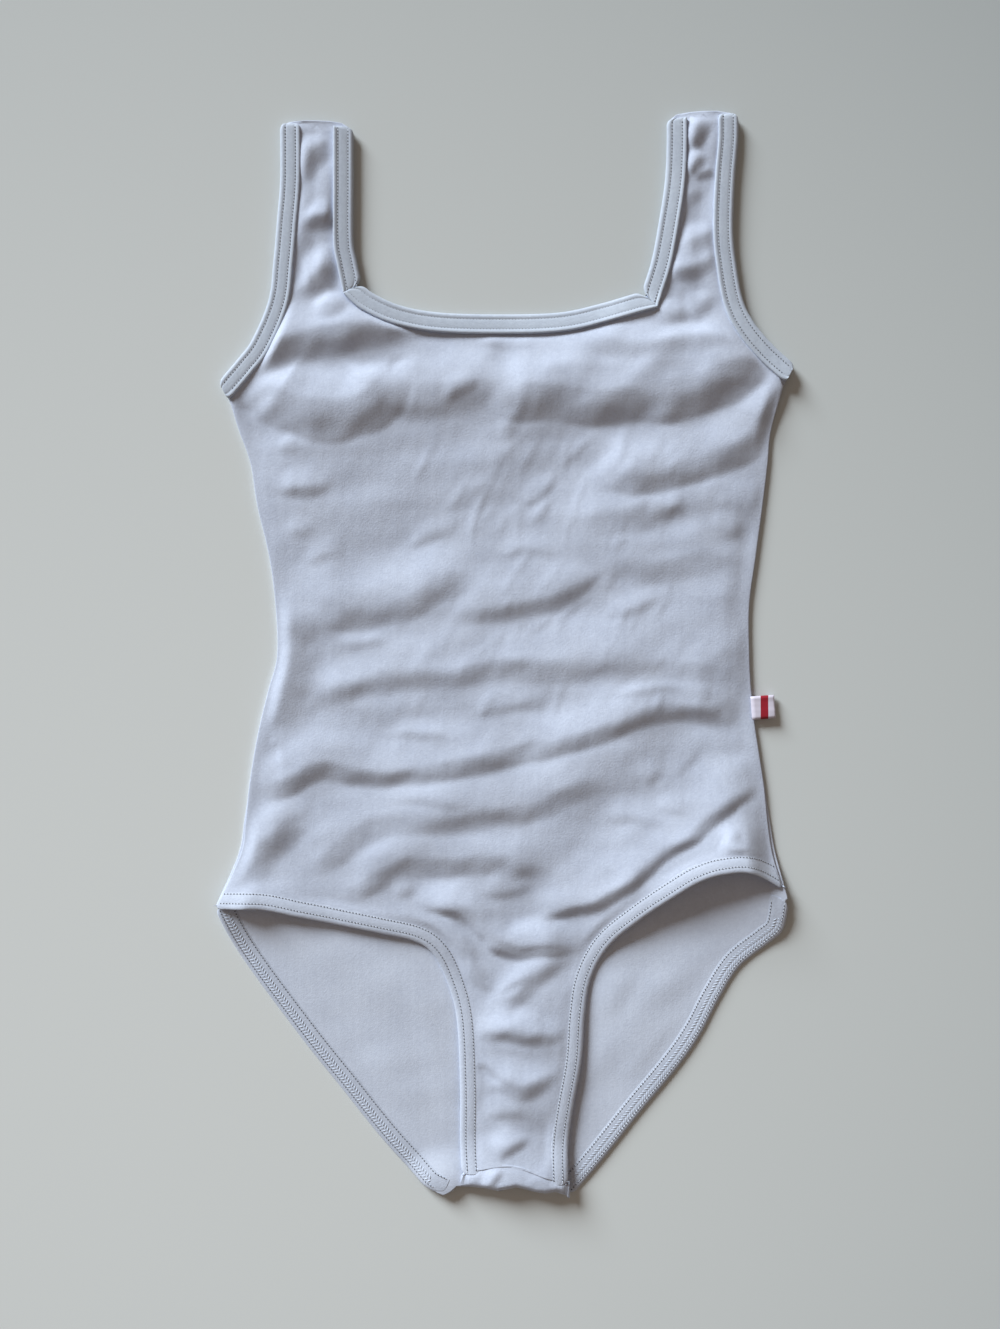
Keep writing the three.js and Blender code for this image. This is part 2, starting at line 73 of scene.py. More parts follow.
def node(tree, kind, settings=None, **inputs):
    """Adds a shader node. settings are its own values, and inputs its sockets, by name or by number (i0)."""
    new = tree.nodes.new("ShaderNode" + kind)
    for name, value in (settings or {}).items():
        setattr(new, name, value)
    for name, value in inputs.items():
        plug = new.inputs[int(name[1:])] if name[1:].isdigit() else new.inputs[name.replace("_", " ")]
        if isinstance(value, bpy.types.NodeSocket):
            tree.links.new(value, plug)
        else:
            plug.default_value = value
    return new


def new_material(name):
    """A new node material, its node tree and its output, ready for a surface."""
    material = bpy.data.materials.new(name)
    material.use_nodes = True
    material.node_tree.nodes.clear()
    output = material.node_tree.nodes.new("ShaderNodeOutputMaterial")
    return material, material.node_tree, output


# %% [markdown]
# ## Camera
# The picture looks straight down. At the cloth its frame is 600 mm wide and 797 mm high, for an
# image of 1000 by 1329 pixels, so 0.6 mm a pixel. The camera is 820 mm up, as a phone held over a
# table is, so the picture has a little perspective. A camera far away with a long lens would be
# flatter, but the raised hem would then show less of the dark under it.

# %% Place the camera
IMAGE_WIDTH, IMAGE_HEIGHT = 1000, 1329
MM_PER_PIXEL = 0.6
CAMERA_HEIGHT = 820
CAMERA_X, CAMERA_Y = -3.0, -5.7
GARMENT_HEIGHT = 4
LONG_SENSOR = 36.0

camera_data = bpy.data.cameras.new("camera")
camera_data.sensor_width = LONG_SENSOR
camera_data.lens = LONG_SENSOR * (CAMERA_HEIGHT - GARMENT_HEIGHT) / (IMAGE_HEIGHT * MM_PER_PIXEL)
camera = bpy.data.objects.new("camera", camera_data)
camera.location = (CAMERA_X * MM, CAMERA_Y * MM, CAMERA_HEIGHT * MM)
bpy.context.scene.collection.objects.link(camera)
bpy.context.scene.camera = camera
print("camera lens", round(camera_data.lens, 1), "mm, frame", IMAGE_WIDTH * MM_PER_PIXEL, "mm wide")

# %% [markdown]
# ## Surface and light
# The surface is a smooth painted board, pale grey with a breath of green. It is brightest towards
# the lower left, where the room is open, and darkest at the upper right corner and the edges. That
# falloff of light is painted into the board's colour as a slow change to painted shade.

# %% Painted board
FLOOR_SIZE = 4.0
FLOOR_DROP = 0.2
FLOOR_COLOUR, FLOOR_SHADE = "#e8ebea", "#aeb4b5"
FALLOFF_RUN = Vector((0.62, 0.42, 0.0))
FALLOFF_MIDDLE, FALLOFF_ROUND = 0.27, 0.9
GRAIN_SCALE, GRAIN_RELIEF = 1400.0, 0.2
BOARD_ROUGHNESS = 0.7

floor_material, tree, output = new_material("painted_board")
place = node(tree, "NewGeometry").outputs["Position"]
# Painted light falloff: these nodes darken the board towards the upper right and towards the edges.
towards_corner = node(tree, "VectorMath", {"operation": "DOT_PRODUCT"}, i0=place, i1=FALLOFF_RUN)
from_middle = node(tree, "VectorMath", {"operation": "LENGTH"}, i0=place)
squared = node(tree, "Math", {"operation": "POWER"}, i0=from_middle.outputs["Value"], i1=2.0)
sloped = node(tree, "Math", {"operation": "ADD"}, i0=towards_corner.outputs["Value"], i1=FALLOFF_MIDDLE)
rounded = node(tree, "Math", {"operation": "MULTIPLY_ADD"}, i0=squared.outputs[0], i1=FALLOFF_ROUND,
               i2=sloped.outputs[0])
clamped = node(tree, "Clamp", Value=rounded.outputs[0])
grain = node(tree, "TexNoise", Vector=place, Scale=GRAIN_SCALE, Detail=2.0)
tone = node(tree, "Mix", {"data_type": "RGBA"}, Factor=clamped.outputs[0],
            i6=linear(FLOOR_COLOUR), i7=linear(FLOOR_SHADE))
relief = node(tree, "Bump", Height=grain.outputs["Fac"], Strength=0.06, Distance=GRAIN_RELIEF * MM)
board = node(tree, "BsdfPrincipled", Base_Color=tone.outputs[2], Roughness=BOARD_ROUGHNESS,
             Normal=relief.outputs["Normal"])
board.inputs["Specular IOR Level"].default_value = 0.2
tree.links.new(board.outputs["BSDF"], output.inputs["Surface"])

floor_mesh = bpy.data.meshes.new("floor")
half = FLOOR_SIZE / 2
floor_corners = [(-half, -half, 0), (half, -half, 0), (half, half, 0), (-half, half, 0)]
floor_mesh.from_pydata(floor_corners, [], [(0, 1, 2, 3)])
floor_mesh.materials.append(floor_material)
floor = bpy.data.objects.new("floor", floor_mesh)
floor.location.z = -FLOOR_DROP * MM
bpy.context.scene.collection.objects.link(floor)

# %% [markdown]
# The light comes from a window on the upper left. Shadows fall to the lower right, over twice the
# height of what throws them, so the window's middle is some 21 degrees up. It is wide, so shadows
# are soft, and far off, so it lights the whole leotard evenly, as a broad sun does. Each small fold
# then has a lit upper side and a shaded lower side. The room fills the shadows with warmer light.

# %% Window and room
WINDOW_ELEVATION = math.radians(21)
WINDOW_BEARING = math.radians(130)
WINDOW_WIDTH = math.radians(25)
WINDOW_STRENGTH = 5.2
WINDOW_COLOUR = "#f0f9ff"
ROOM_COLOUR = "#ffe9d6"
ROOM_STRENGTH = 0.20

window_data = bpy.data.lights.new("window", "SUN")
window_data.angle = WINDOW_WIDTH
window_data.energy = WINDOW_STRENGTH
window_data.color = linear(WINDOW_COLOUR)[:3]
window = bpy.data.objects.new("window", window_data)
toward = Vector((
    math.cos(WINDOW_BEARING) * math.cos(WINDOW_ELEVATION),
    math.sin(WINDOW_BEARING) * math.cos(WINDOW_ELEVATION),
    math.sin(WINDOW_ELEVATION),
))
window.location = toward * 2
window.rotation_mode = "QUATERNION"
window.rotation_quaternion = toward.to_track_quat("Z", "Y")
bpy.context.scene.collection.objects.link(window)

world = bpy.data.worlds.new("room")
world.use_nodes = True
background = world.node_tree.nodes["Background"]
background.inputs["Color"].default_value = linear(ROOM_COLOUR)
background.inputs["Strength"].default_value = ROOM_STRENGTH
bpy.context.scene.world = world
bpy.context.scene.view_settings.view_transform = "Standard"

# %% [markdown]
# ## The cut, as it lies
# A panel's outline is what the scissors cut, as it lies on the table. Each finished edge is a short
# list of places in millimetres, with the cloth on its left hand, and a smooth curve runs through
# them. The body's sides come from a table of sections, as a pattern maker measures chest, waist and
# hips. The back shows a little past the front at the hips.

# %% Edges and body sections
def table(kind, *rows):
    """A table, with each row as a named tuple."""
    return [kind(*row) for row in rows]


Section = namedtuple("Section", "y left right behind_left behind_right")
BODY = table(
    Section,
    (135, -160, 160, 0, 0),
    (115, -153, 158, 0, 0),
    (90, -149, 155, 0, 0),
    (60, -142, 151, 0, 0),
    (30, -138, 147, 0, 0),
    (0, -137, 147, 0, 0),
    (-20, -142, 148, 0, 0),
    (-40, -147, 150, 0, 0),
    (-60, -151, 153, 0, 0),
    (-80, -154, 156, 0, 0.5),
    (-100, -156, 158, 1, 1.5),
    (-120, -159, 161, 1.5, 2),
)
UNDERARM_LEFT, UNDERARM_RIGHT = (-165, 151), (167, 161)
HIP_LEFT, HIP_RIGHT_FRONT, HIP_RIGHT_BACK = (-174, -152), (167, -141), (170, -148)
STATIONS = {
    "armhole_left": [(-135, 319), (-135, 285), (-137, 260), (-139, 237), (-142, 213), (-152, 189),
                     (-161, 177), (-172, 164)],
    "armhole_right": [(174, 174), (161, 186), (150, 199), (143, 213), (139, 234), (137, 255),
                      (138, 285), (140, 309), (140, 325)],
    "neck_right": [(97, 322), (97, 305), (96, 285), (93, 264), (88, 237), (82, 218)],
    "neck_front": [(82, 218), (57, 211), (33, 206), (-3, 205), (-39, 206), (-63, 210), (-79, 217),
                   (-86, 223)],
    "neck_left": [(-86, 223), (-89, 237), (-91, 250), (-91, 285), (-91, 317)],
    "neck_back": [(98, 322), (98, 285), (94, 250), (90, 215), (73, 182), (40, 161), (0, 155),
                  (-40, 162), (-70, 183), (-87, 215), (-92, 250), (-92, 317)],
    "leg_front_left": [HIP_LEFT, (-147, -152), (-123, -157), (-99, -162), (-75, -167), (-54, -172),
                       (-43, -180), (-35, -196), (-29, -219), (-27, -259), (-27, -291), (-26, -311)],
    "leg_front_right": [(38, -316.5), (38, -294), (41, -271), (46, -243), (48, -216), (52, -194),
                        (63, -174), (81, -158), (105, -141), (117, -134), (130, -130), (147, -130),
                        HIP_RIGHT_FRONT],
    "leg_back_left": [HIP_LEFT, (-159, -181), (-123, -230), (-99, -260), (-75, -290), (-54, -313),
                      (-47, -319.5), (-37, -324)],
    "leg_back_right": [(40, -325.4), (57, -306), (81, -276), (105, -247), (118, -228), (129, -207),
                       (141, -188), (158, -174), (167, -165), HIP_RIGHT_BACK],
    "crotch_seam": [(-26, -311), (-14, -308), (-1, -305.8), (11, -307.6), (24, -312.2), (38, -316.5)],
    "crotch_tip": [(-37, -324), (-33, -322), (-29, -318.5)],
    "crotch_fold": [(-29, -318.5), (-20, -319.3), (-11, -320.3), (-4, -321.5), (3, -320), (9, -319.2),
                    (15, -321.5), (24, -323), (31, -322.3), (36, -324.4), (40, -325.4)],
    "side_left": [UNDERARM_LEFT] + [(s.left, s.y) for s in BODY] + [HIP_LEFT],
    "side_right": [HIP_RIGHT_FRONT] + [(s.right, s.y) for s in reversed(BODY)] + [UNDERARM_RIGHT],
    "back_side_left": [UNDERARM_LEFT] + [(s.left - s.behind_left, s.y) for s in BODY] + [HIP_LEFT],
    "back_side_right": [HIP_RIGHT_BACK] + [(s.right + s.behind_right, s.y) for s in reversed(BODY)]
    + [UNDERARM_RIGHT],
}
EDGE_STEP = 2.0
CURVE_STEPS = 30


def length_along(points):
    """Length from a line's first point to each of its points."""
    return np.concatenate([[0], np.cumsum(np.linalg.norm(np.diff(points, axis=0), axis=1))])


def at_lengths(at, along, values):
    """Values of a line's columns at given lengths along it."""
    return np.column_stack([np.interp(at, along, column) for column in values.T])


def smooth_edge(stations, step=EDGE_STEP):
    """Evenly spaced points on a smooth curve through a few stations, in millimetres."""
    points = np.array(stations, float)
    padded = np.vstack([points[:1], points, points[-1:]])
    share = np.linspace(0, 1, CURVE_STEPS, endpoint=False)[:, None]
    runs = []
    for i in range(len(points) - 1):
        before, start, end, after = padded[i:i + 4]
        leave, arrive = (end - before) / 2, (after - start) / 2
        cubic = 2 * start - 2 * end + leave + arrive
        square = -3 * start + 3 * end - 2 * leave - arrive
        runs.append(cubic * share**3 + square * share**2 + leave * share + start)
    dense = np.vstack(runs + [points[-1:]])
    along = length_along(dense)
    even = np.linspace(0, along[-1], max(2, round(along[-1] / step)) + 1)
    return at_lengths(even, along, dense)


SAME_PLACE = 0.05


def joined(*runs):
    """Runs of points end to end, with each shared corner kept once."""
    points = np.vstack(runs)
    apart = np.linalg.norm(np.diff(points, axis=0), axis=1) > SAME_PLACE
    return points[np.concatenate([[True], apart])]


EDGE = {name: smooth_edge(stations) for name, stations in STATIONS.items()}
EDGE["neck"] = joined(EDGE["neck_right"], EDGE["neck_front"], EDGE["neck_left"])
print("edges", len(EDGE), "front neck edge is", round(EDGE_STEP * (len(EDGE["neck"]) - 1)), "mm long")


# %% [markdown]
# ## Measuring from edges
# Folds, seams and stitches are all placed by how far they are from an edge or a line. The first
# function answers that for many points at once: how far, on which side, and how far along the line.
# Others move an edge into the cloth, ease from 0 to 1, and give a smooth uneven field.

# %% Distances and easing
SHORT_EDGE = 9


def nearest_on(line, xy):
    """Distance to a line, side (left is +1), and share along it, for many points."""
    line = np.asarray(line, float)
    best = np.full(len(xy), np.inf)
    side, along = np.ones(len(xy)), np.zeros(len(xy))
    for i in range(len(line) - 1):
        run = line[i + 1] - line[i]
        offset = xy - line[i]
        t = np.clip(offset @ run / (run @ run), 0, 1)
        gap = offset - t[:, None] * run
        distance = np.hypot(gap[:, 0], gap[:, 1])
        closer = distance < best
        best[closer] = distance[closer]
        turn = run[0] * offset[:, 1] - run[1] * offset[:, 0]
        side[closer] = np.where(turn[closer] < 0, -1, 1)
        along[closer] = (i + t[closer]) / (len(line) - 1)
    return best, side, along


def distance_to(names, xy):
    """Distance to the nearest of several edges. A long edge is measured by every third point."""
    lines = [EDGE[name][::3] if len(EDGE[name]) > SHORT_EDGE else EDGE[name] for name in names]
    return np.min([nearest_on(line, xy)[0] for line in lines], axis=0)


def inward_vectors(points):
    """For each point of an edge, the mitred step of one millimetre into the cloth."""
    runs = np.diff(points, axis=0)
    runs /= np.linalg.norm(runs, axis=1)[:, None]
    total = np.vstack([runs[:1], runs]) + np.vstack([runs, runs[-1:]])
    scale = 2 / (total**2).sum(1)
    return np.column_stack([-total[:, 1] * scale, total[:, 0] * scale])


def moved_in(points, distance):
    """An edge moved into the cloth."""
    return points + inward_vectors(points) * distance


def ease(t):
    """A smooth step from 0 to 1."""
    t = np.clip(t, 0, 1)
    return t * t * (3 - 2 * t)


def ripple(seed, wave, stretch=1.0, waves=9):
    """A smooth uneven field of points, between about -1 and 1. stretch lengthens it across the body."""
    rng = np.random.default_rng(seed)
    heading = rng.uniform(0, 2 * math.pi, waves)
    pitch = 2 * math.pi / (wave * rng.uniform(0.7, 1.5, waves))
    phase = rng.uniform(0, 2 * math.pi, waves)
    across, up = np.cos(heading) * pitch / stretch, np.sin(heading) * pitch

    def field(xy):
        return np.sin(xy[:, :1] * across + xy[:, 1:] * up + phase).sum(1) / math.sqrt(waves) / 1.5

    return field


# %% [markdown]
# ## How the front lies
# A stretch knit laid down by hand doesn't lie like paper. Air stays under it, so it rises in broad
# swells, and it was pushed together along the body, so folds run across it. Each fold has a gentle
# side that faces the light and a steep side below it. A simulation would make folds, but not these
# folds in these places, so they are listed: how high the fold is, how wide its gentle side
# above and its steep side below are, how crisp the crease at its foot is, and where the steep side
# runs, with the gentle side on the left. The large ones are in the frame's solids too, and the
# smaller ones are added here. A crease is a narrow fold of negative height, pressed into the cloth.

# %% Swells and folds
Swell = namedtuple("Swell", "x y reach_x reach_y height")
SWELLS = table(
    Swell,
    (-90, 115, 75, 75, 2.2),
    (95, 110, 75, 75, 2.4),
    (0, 5, 150, 110, 1.8),
    (0, -100, 140, 90, 2.4),
    (148, 22, 64, 90, 2.6),
    (62, -62, 62, 62, 3.0),
    (80, 186, 90, 34, 3.0),
    (-110, -172, 95, 54, 3.4),
    (-158, -172, 58, 58, 6.8),
    (132, -142, 98, 84, 7.0),
    (134, -138, 56, 44, 7.4),
    (88, -166, 46, 46, 3.5),
    (14, -250, 64, 100, 4.6),
    (-3, 212, 85, 45, -1.3),
    (4, -330, 58, 48, 7.6),
)
Fold = namedtuple("Fold", "height above below crisp line")
LARGE_FOLDS = table(
    Fold,
    (5.2, 24, 18, 0.2, [(-162, 168), (-147, 176), (-123, 184), (-99, 189), (-72, 191), (-48, 187)]),
    (7.0, 26, 24, 0.6, [(-158, 164), (-148, 156), (-138, 149), (-123, 142), (-105, 140), (-87, 142),
        (-75, 150), (-66, 162), (-60, 176)]),
    (3.6, 24, 24, 0.3, [(-80, 158), (-57, 154), (-40, 152), (-20, 152), (0, 151), (16, 152)]),
    (7.4, 38, 22, 0.6, [(-12, 153), (12, 151), (33, 150), (57, 148), (87, 150), (102, 152), (117, 156),
        (134, 163), (147, 171), (160, 182)]),
    (4.0, 24, 15, 0.65, [(50, 102), (70, 104), (94, 107), (116, 110), (132, 115), (145, 124), (154, 136),
        (160, 150), (166, 166)]),
    (1.6, 22, 18, 0.1, [(36, 74), (51, 77), (75, 82), (100, 87), (129, 93), (146, 98)]),
    (1.8, 20, 15, 0.2, [(52, 50), (72, 50), (92, 49), (112, 52), (129, 58), (142, 66)]),
    (3.2, 17, 27, 0.1, [(-130, -50), (-124, -27), (-122, -10), (-123, 9), (-126, 26), (-129, 42)]),
    (2.6, 30, 17, 0.4, [(-132, 52), (-122, 42), (-105, 27), (-87, 21), (-63, 27), (-44, 35), (-27, 42),
        (-12, 50)]),
    (2.3, 26, 12, 0.45, [(-36, 20), (-24, 21), (-9, 24), (4, 27), (18, 30), (35, 34), (46, 41),
        (58, 50)]),
    (2.7, 34, 15, 0.2, [(-120, -30), (-93, -22), (-60, -16), (-33, -13), (0, -9), (30, -10), (60, -11),
        (90, -9), (126, -11), (142, -12)]),
    (0.6, 16, 9, 0.5, [(-48, -25), (-27, -20), (-16, -15), (-6, -7)]),
    (3.8, 30, 12, 0.45, [(-152, -82), (-132, -80), (-120, -73), (-108, -69), (-94, -71), (-76, -74),
        (-56, -73), (-36, -70), (-17, -67), (2, -62), (14, -58), (30, -56), (43, -52), (56, -49),
        (68, -44), (78, -39), (92, -36), (104, -35), (122, -37), (138, -42)]),
    (3.0, 20, 18, 0.2, [(-166, -140), (-152, -129), (-138, -114), (-127, -105), (-110, -98)]),
    (2.4, 30, 15, 0.2, [(-114, -134), (-104, -123), (-92, -112), (-78, -106), (-58, -102), (-30, -100),
        (0, -98), (24, -91), (45, -83), (64, -76)]),
    (2.6, 22, 13, 0.3, [(-96, -149), (-85, -141), (-69, -132), (-45, -127), (-15, -127), (10, -129),
        (30, -130)]),
    (4.4, 18, 9, 0.85, [(-56, -145), (-38, -152), (-24, -158), (-12, -168), (-2, -175), (12, -177),
        (30, -177), (48, -177)]),
    (3.6, 36, 8, 0.9, [(18, -160), (36, -155), (57, -149), (72, -140), (82, -131), (96, -120),
        (111, -110), (122, -100), (132, -91), (142, -85), (156, -82)]),
    (2.8, 15, 12, 0.3, [(-8, -222), (4, -211), (16, -198), (28, -188), (44, -181)]),
    (3.0, 14, 9, 0.8, [(-22, -224), (-12, -227), (0, -228), (12, -230), (26, -230), (40, -223)]),
    (2.8, 14, 11, 0.4, [(-22, -244), (-12, -250), (-2, -257), (11, -261), (22, -257), (35, -246)]),
)
STRAP_FOLDS = table(
    Fold,
    (3.6, 12, 12, 0.3, [(-128, 283), (-119, 291), (-110, 301), (-101, 308)]),
    (3.0, 12, 10, 0.3, [(-124, 262), (-111, 259), (-97, 259)]),
    (4.0, 14, 13, 0.3, [(-133, 218), (-120, 217), (-110, 222), (-104, 232), (-98, 246)]),
    (2.4, 10, 9, 0.3, [(-118, 208), (-106, 206), (-92, 214)]),
    (3.5, 10, 9, 0.5, [(106, 302), (112, 309), (118, 316), (123, 326)]),
    (2.8, 10, 8, 0.4, [(104, 288), (112, 293), (121, 303)]),
    (1.6, 8, 6, 0.4, [(112, 288), (120, 289), (127, 292)]),
    (1.0, 12, 9, 0.3, [(101, 266), (111, 271), (122, 281)]),
    (2.3, 12, 10, 0.3, [(99, 242), (112, 244), (121, 249), (128, 257)]),
    (2.2, 12, 10, 0.3, [(93, 227), (108, 229), (118, 232), (128, 237)]),
    (1.8, 11, 9, 0.3, [(82, 208), (95, 202), (105, 203), (113, 213)]),
    (1.8, 11, 9, 0.3, [(106, 202), (116, 205), (127, 217)]),
)
SMALL_FOLDS = table(
    Fold,
    (2.2, 10, 12, 0.15, [(44, 187), (70, 184), (100, 184), (140, 188)]),
    (1.1, 12, 7, 0.3, [(-36, 150), (-26, 158), (-16, 166)]),
    (1.2, 12, 8, 0.3, [(-2, 128), (8, 142), (18, 158)]),
    (1, 12, 7, 0.3, [(-20, 186), (0, 184), (22, 187)]),
    (0.8, 10, 6, 0.5, [(-138, 127), (-130, 122), (-122, 127)]),
    (1.8, 14, 8, 0.4, [(-140, 99), (-128, 97), (-116, 99), (-104, 102)]),
    (0.7, 12, 7, 0.3, [(-136, 74), (-124, 73), (-112, 77)]),
    (0.9, 13, 8, 0.2, [(122, 72), (136, 75), (146, 82)]),
    (1.2, 13, 8, 0.2, [(84, 84), (98, 86), (110, 84)]),
    (1, 12, 8, 0.2, [(-120, 52), (-106, 58), (-92, 57)]),
    (0.9, 10, 6, 0.3, [(-60, 62), (-44, 70), (-30, 82)]),
    (0.9, 10, 6, 0.3, [(8, 84), (22, 96), (34, 110)]),
    (0.8, 12, 6, 0.2, [(-6, 56), (14, 62), (34, 60)]),
    (1, 12, 6, 0.2, [(-104, 6), (-84, 4), (-66, 9)]),
    (0.9, 10, 6, 0.2, [(56, 22), (76, 26), (98, 38)]),
    (1, 10, 6, 0.2, [(-76, -46), (-52, -49), (-30, -50)]),
    (0.9, 12, 7, 0.2, [(-28, -38), (0, -34), (30, -28)]),
    (0.8, 10, 6, 0.2, [(64, -26), (88, -22), (112, -24)]),
    (0.7, 12, 7, 0.3, [(80, -78), (88, -73), (96, -66)]),
    (0.8, 12, 6, 0.4, [(101, -75), (110, -66), (119, -56)]),
    (0.7, 12, 6, 0.4, [(88, -88), (98, -93), (110, -97)]),
    (1, 13, 7, 0.2, [(54, -100), (76, -98), (98, -106)]),
    (1, 12, 7, 0.2, [(-72, -92), (-48, -88), (-16, -90)]),
    (0.7, 10, 6, 0.5, [(-66, -146), (-60, -143), (-50, -142)]),
    (1.8, 10, 5, 0.8, [(-58, -153), (-45, -162), (-34, -171), (-26, -183), (-20, -193), (-13, -200),
        (-4, -205)]),
    (1.2, 12, 7, 0.3, [(-20, -143), (4, -144), (20, -140)]),
    (2.2, 13, 7, 0.8, [(151, -122), (141, -114), (136, -106), (127, -103)]),
    (2.2, 16, 7, 0.6, [(-7, -303), (5, -296), (16, -289)]),
    (1, 12, 7, 0.3, [(-14, -276), (2, -274), (18, -278)]),
)
CREASES = table(
    Fold,
    (-0.7, 5, 4, 0, [(-46, -150), (-34, -151), (-22, -158), (-12, -167), (-2, -174), (12, -178),
        (30, -178), (46, -179)]),
    (-0.4, 5, 4, 0, [(34, -159), (46, -155), (60, -150), (74, -141), (84, -131)]),
    (-0.4, 5, 4, 0, [(106, -116), (120, -104), (130, -96), (140, -90)]),
    (-0.8, 4, 4, 0, [(-60, -150), (-45, -161), (-34, -171), (-26, -183), (-20, -193), (-12, -201)]),
    (-0.5, 4, 4, 0, [(-20, -226), (-10, -229), (2, -233), (16, -234), (30, -232)]),
    (-1.3, 5, 5, 0, [(-24, -245), (-14, -252), (-4, -259)]),
    (-0.6, 4, 3, 0, [(-4, -209), (4, -204), (14, -196)]),
    (-0.5, 4, 4, 0, [(-70, 166), (-62, 174), (-54, 179)]),
    (-0.5, 3, 3, 0, [(-162, 156), (-156, 149), (-148, 143)]),
)
wander_x, wander_y, swing = ripple(3, 46), ripple(4, 46), ripple(5, 30)
waver_x, waver_y = ripple(6, 17), ripple(7, 17)
WANDER, WAVER = 1.8, 0.8
FADE, FADE_SHARE = 26.0, 0.4
END_SLIM, SWING, EASED_SHARE = 0.6, 0.12, 0.75
FOLD_LINE_STEP = 4.0


def fold_height(fold, xy):
    """Height of one fold: gentle above its line, steep below, uneven along it, slim and low at its ends."""
    line = np.array(fold.line, float)
    reach = fold.above + fold.below
    near = np.all((xy > line.min(0) - reach) & (xy < line.max(0) + reach), axis=1)
    height = np.zeros(len(xy))
    if near.any():
        distance, side, along = nearest_on(smooth_edge(line, FOLD_LINE_STEP), xy[near])
        length = np.linalg.norm(np.diff(line, axis=0), axis=1).sum()
        taper = ease(np.minimum(along, 1 - along) * length / min(FADE, FADE_SHARE * length))
        slim = END_SLIM + (1 - END_SLIM) * taper
        up = distance * side - fold.below * slim / 2
        rest = np.clip(1 - up / (fold.above * slim), 0, 1)
        gentle = EASED_SHARE * ease(rest) + (1 - EASED_SHARE) * rest**2
        down = np.clip(-up / (fold.below * slim), 0, 1)
        steep = (1 - fold.crisp) * ease(1 - down) + fold.crisp * (1 - down**2)
        uneven = 1 + SWING * swing(xy[near])
        height[near] = fold.height * np.where(up > 0, gentle, steep) * taper * uneven
    return height


def swell_height(swell, xy):
    """Height of one swell, a smooth dome."""
    spread = ((xy[:, 0] - swell.x) / swell.reach_x) ** 2 + ((xy[:, 1] - swell.y) / swell.reach_y) ** 2
    return swell.height * np.clip(1 - spread, 0, 1) ** 2


# %% [markdown]
# Between the large folds a soft knit is never quite smooth. A field of low rumples, longer across
# the body than along it, and a scatter of short steep creases in the middle, where the leotard was
# folded in its drawer, give it that. They are drawn with a fixed seed, so each run is the same.

# %% Rumples and drawer creases
broad_rumple = ripple(13, 50, stretch=1.7, waves=12)
rumple = ripple(11, 22, stretch=2.0, waves=16)
fine_rumple = ripple(12, 9, stretch=1.3, waves=18)
BROAD_RUMPLE_HEIGHT, RUMPLE_HEIGHT, FINE_RUMPLE_HEIGHT = 1.0, 0.32, 0.06

drawer = np.random.default_rng(21)
DRAWER_CREASE_COUNT = 95
DRAWER_X, DRAWER_Y = (-50, 105), (-32, 130)
DRAWER_CREASES = []
for _ in range(DRAWER_CREASE_COUNT):
    x, y = drawer.uniform(*DRAWER_X), drawer.uniform(*DRAWER_Y)
    tilt = math.radians(drawer.normal(62, 11))
    length = drawer.uniform(12, 42)
    step = np.array([math.cos(tilt), math.sin(tilt)]) * length / 2
    bend = drawer.uniform(-2, 2)
    line = [(x - step[0], y - step[1]), (x - bend, y + bend), (x + step[0], y + step[1])]
    height, above, below = drawer.uniform(0.1, 0.32), drawer.uniform(4, 8), drawer.uniform(2.5, 4.5)
    DRAWER_CREASES.append(Fold(height, above, below, 0.3, line))
FRONT_FOLDS = LARGE_FOLDS + STRAP_FOLDS + SMALL_FOLDS + CREASES
print("folds and creases", len(FRONT_FOLDS), "placed by hand,", len(DRAWER_CREASES), "drawn by chance")

# %% [markdown]
# The front's height adds all this up. It lies on the back panel, or on the back's thicker bindings
# and hems, or on the bare surface inside the back's low neckline. It comes down to the side seams,
# and its folds die out before the bindings and hems, which are stiffer. The neck binding stands a
# little over the cloth below it.

# %% Height of the front
SEAM_GAP = 0.3
CLOTH = 0.9
OVER_PANEL = PANEL_TOP + SEAM_GAP
OVER_BOUND = BOUND_TOP + SEAM_GAP
BINDING_WIDTH = 12.0
FRONT_HEM_WIDTH = 9.0
BACK_HEM_WIDTH = 11.0
BACK_BANDS = ["armhole_left", "armhole_right", "neck_back", "leg_back_left", "leg_back_right"]
FRONT_BINDINGS = ["armhole_left", "armhole_right", "neck"]
FRONT_HEMS = ["leg_front_left", "leg_front_right"]
LOWEST = 0.4
BAND_RAMP, SIDE_RISE, FOLD_RISE = 18.0, 18.0, 9.0
FOLDS_UNDER_BINDING, FOLDS_PAST_HEM = 2.0, 0.5
BINDING_RAMP, HEM_RAMP = 6.0, 5.0
NECK_PRESS, NECK_RAMP = 0.5, 10.0


def front_base(xy):
    """Underside of the front without its folds, in millimetres over the surface."""
    over_band = 1 - ease((distance_to(BACK_BANDS, xy) - BINDING_WIDTH) / BAND_RAMP)
    level = OVER_PANEL + (OVER_BOUND - OVER_PANEL) * over_band
    rise = ease(distance_to(["side_left", "side_right"], xy) / SIDE_RISE)
    return np.maximum(level + rise * sum(swell_height(s, xy) for s in SWELLS), LOWEST)


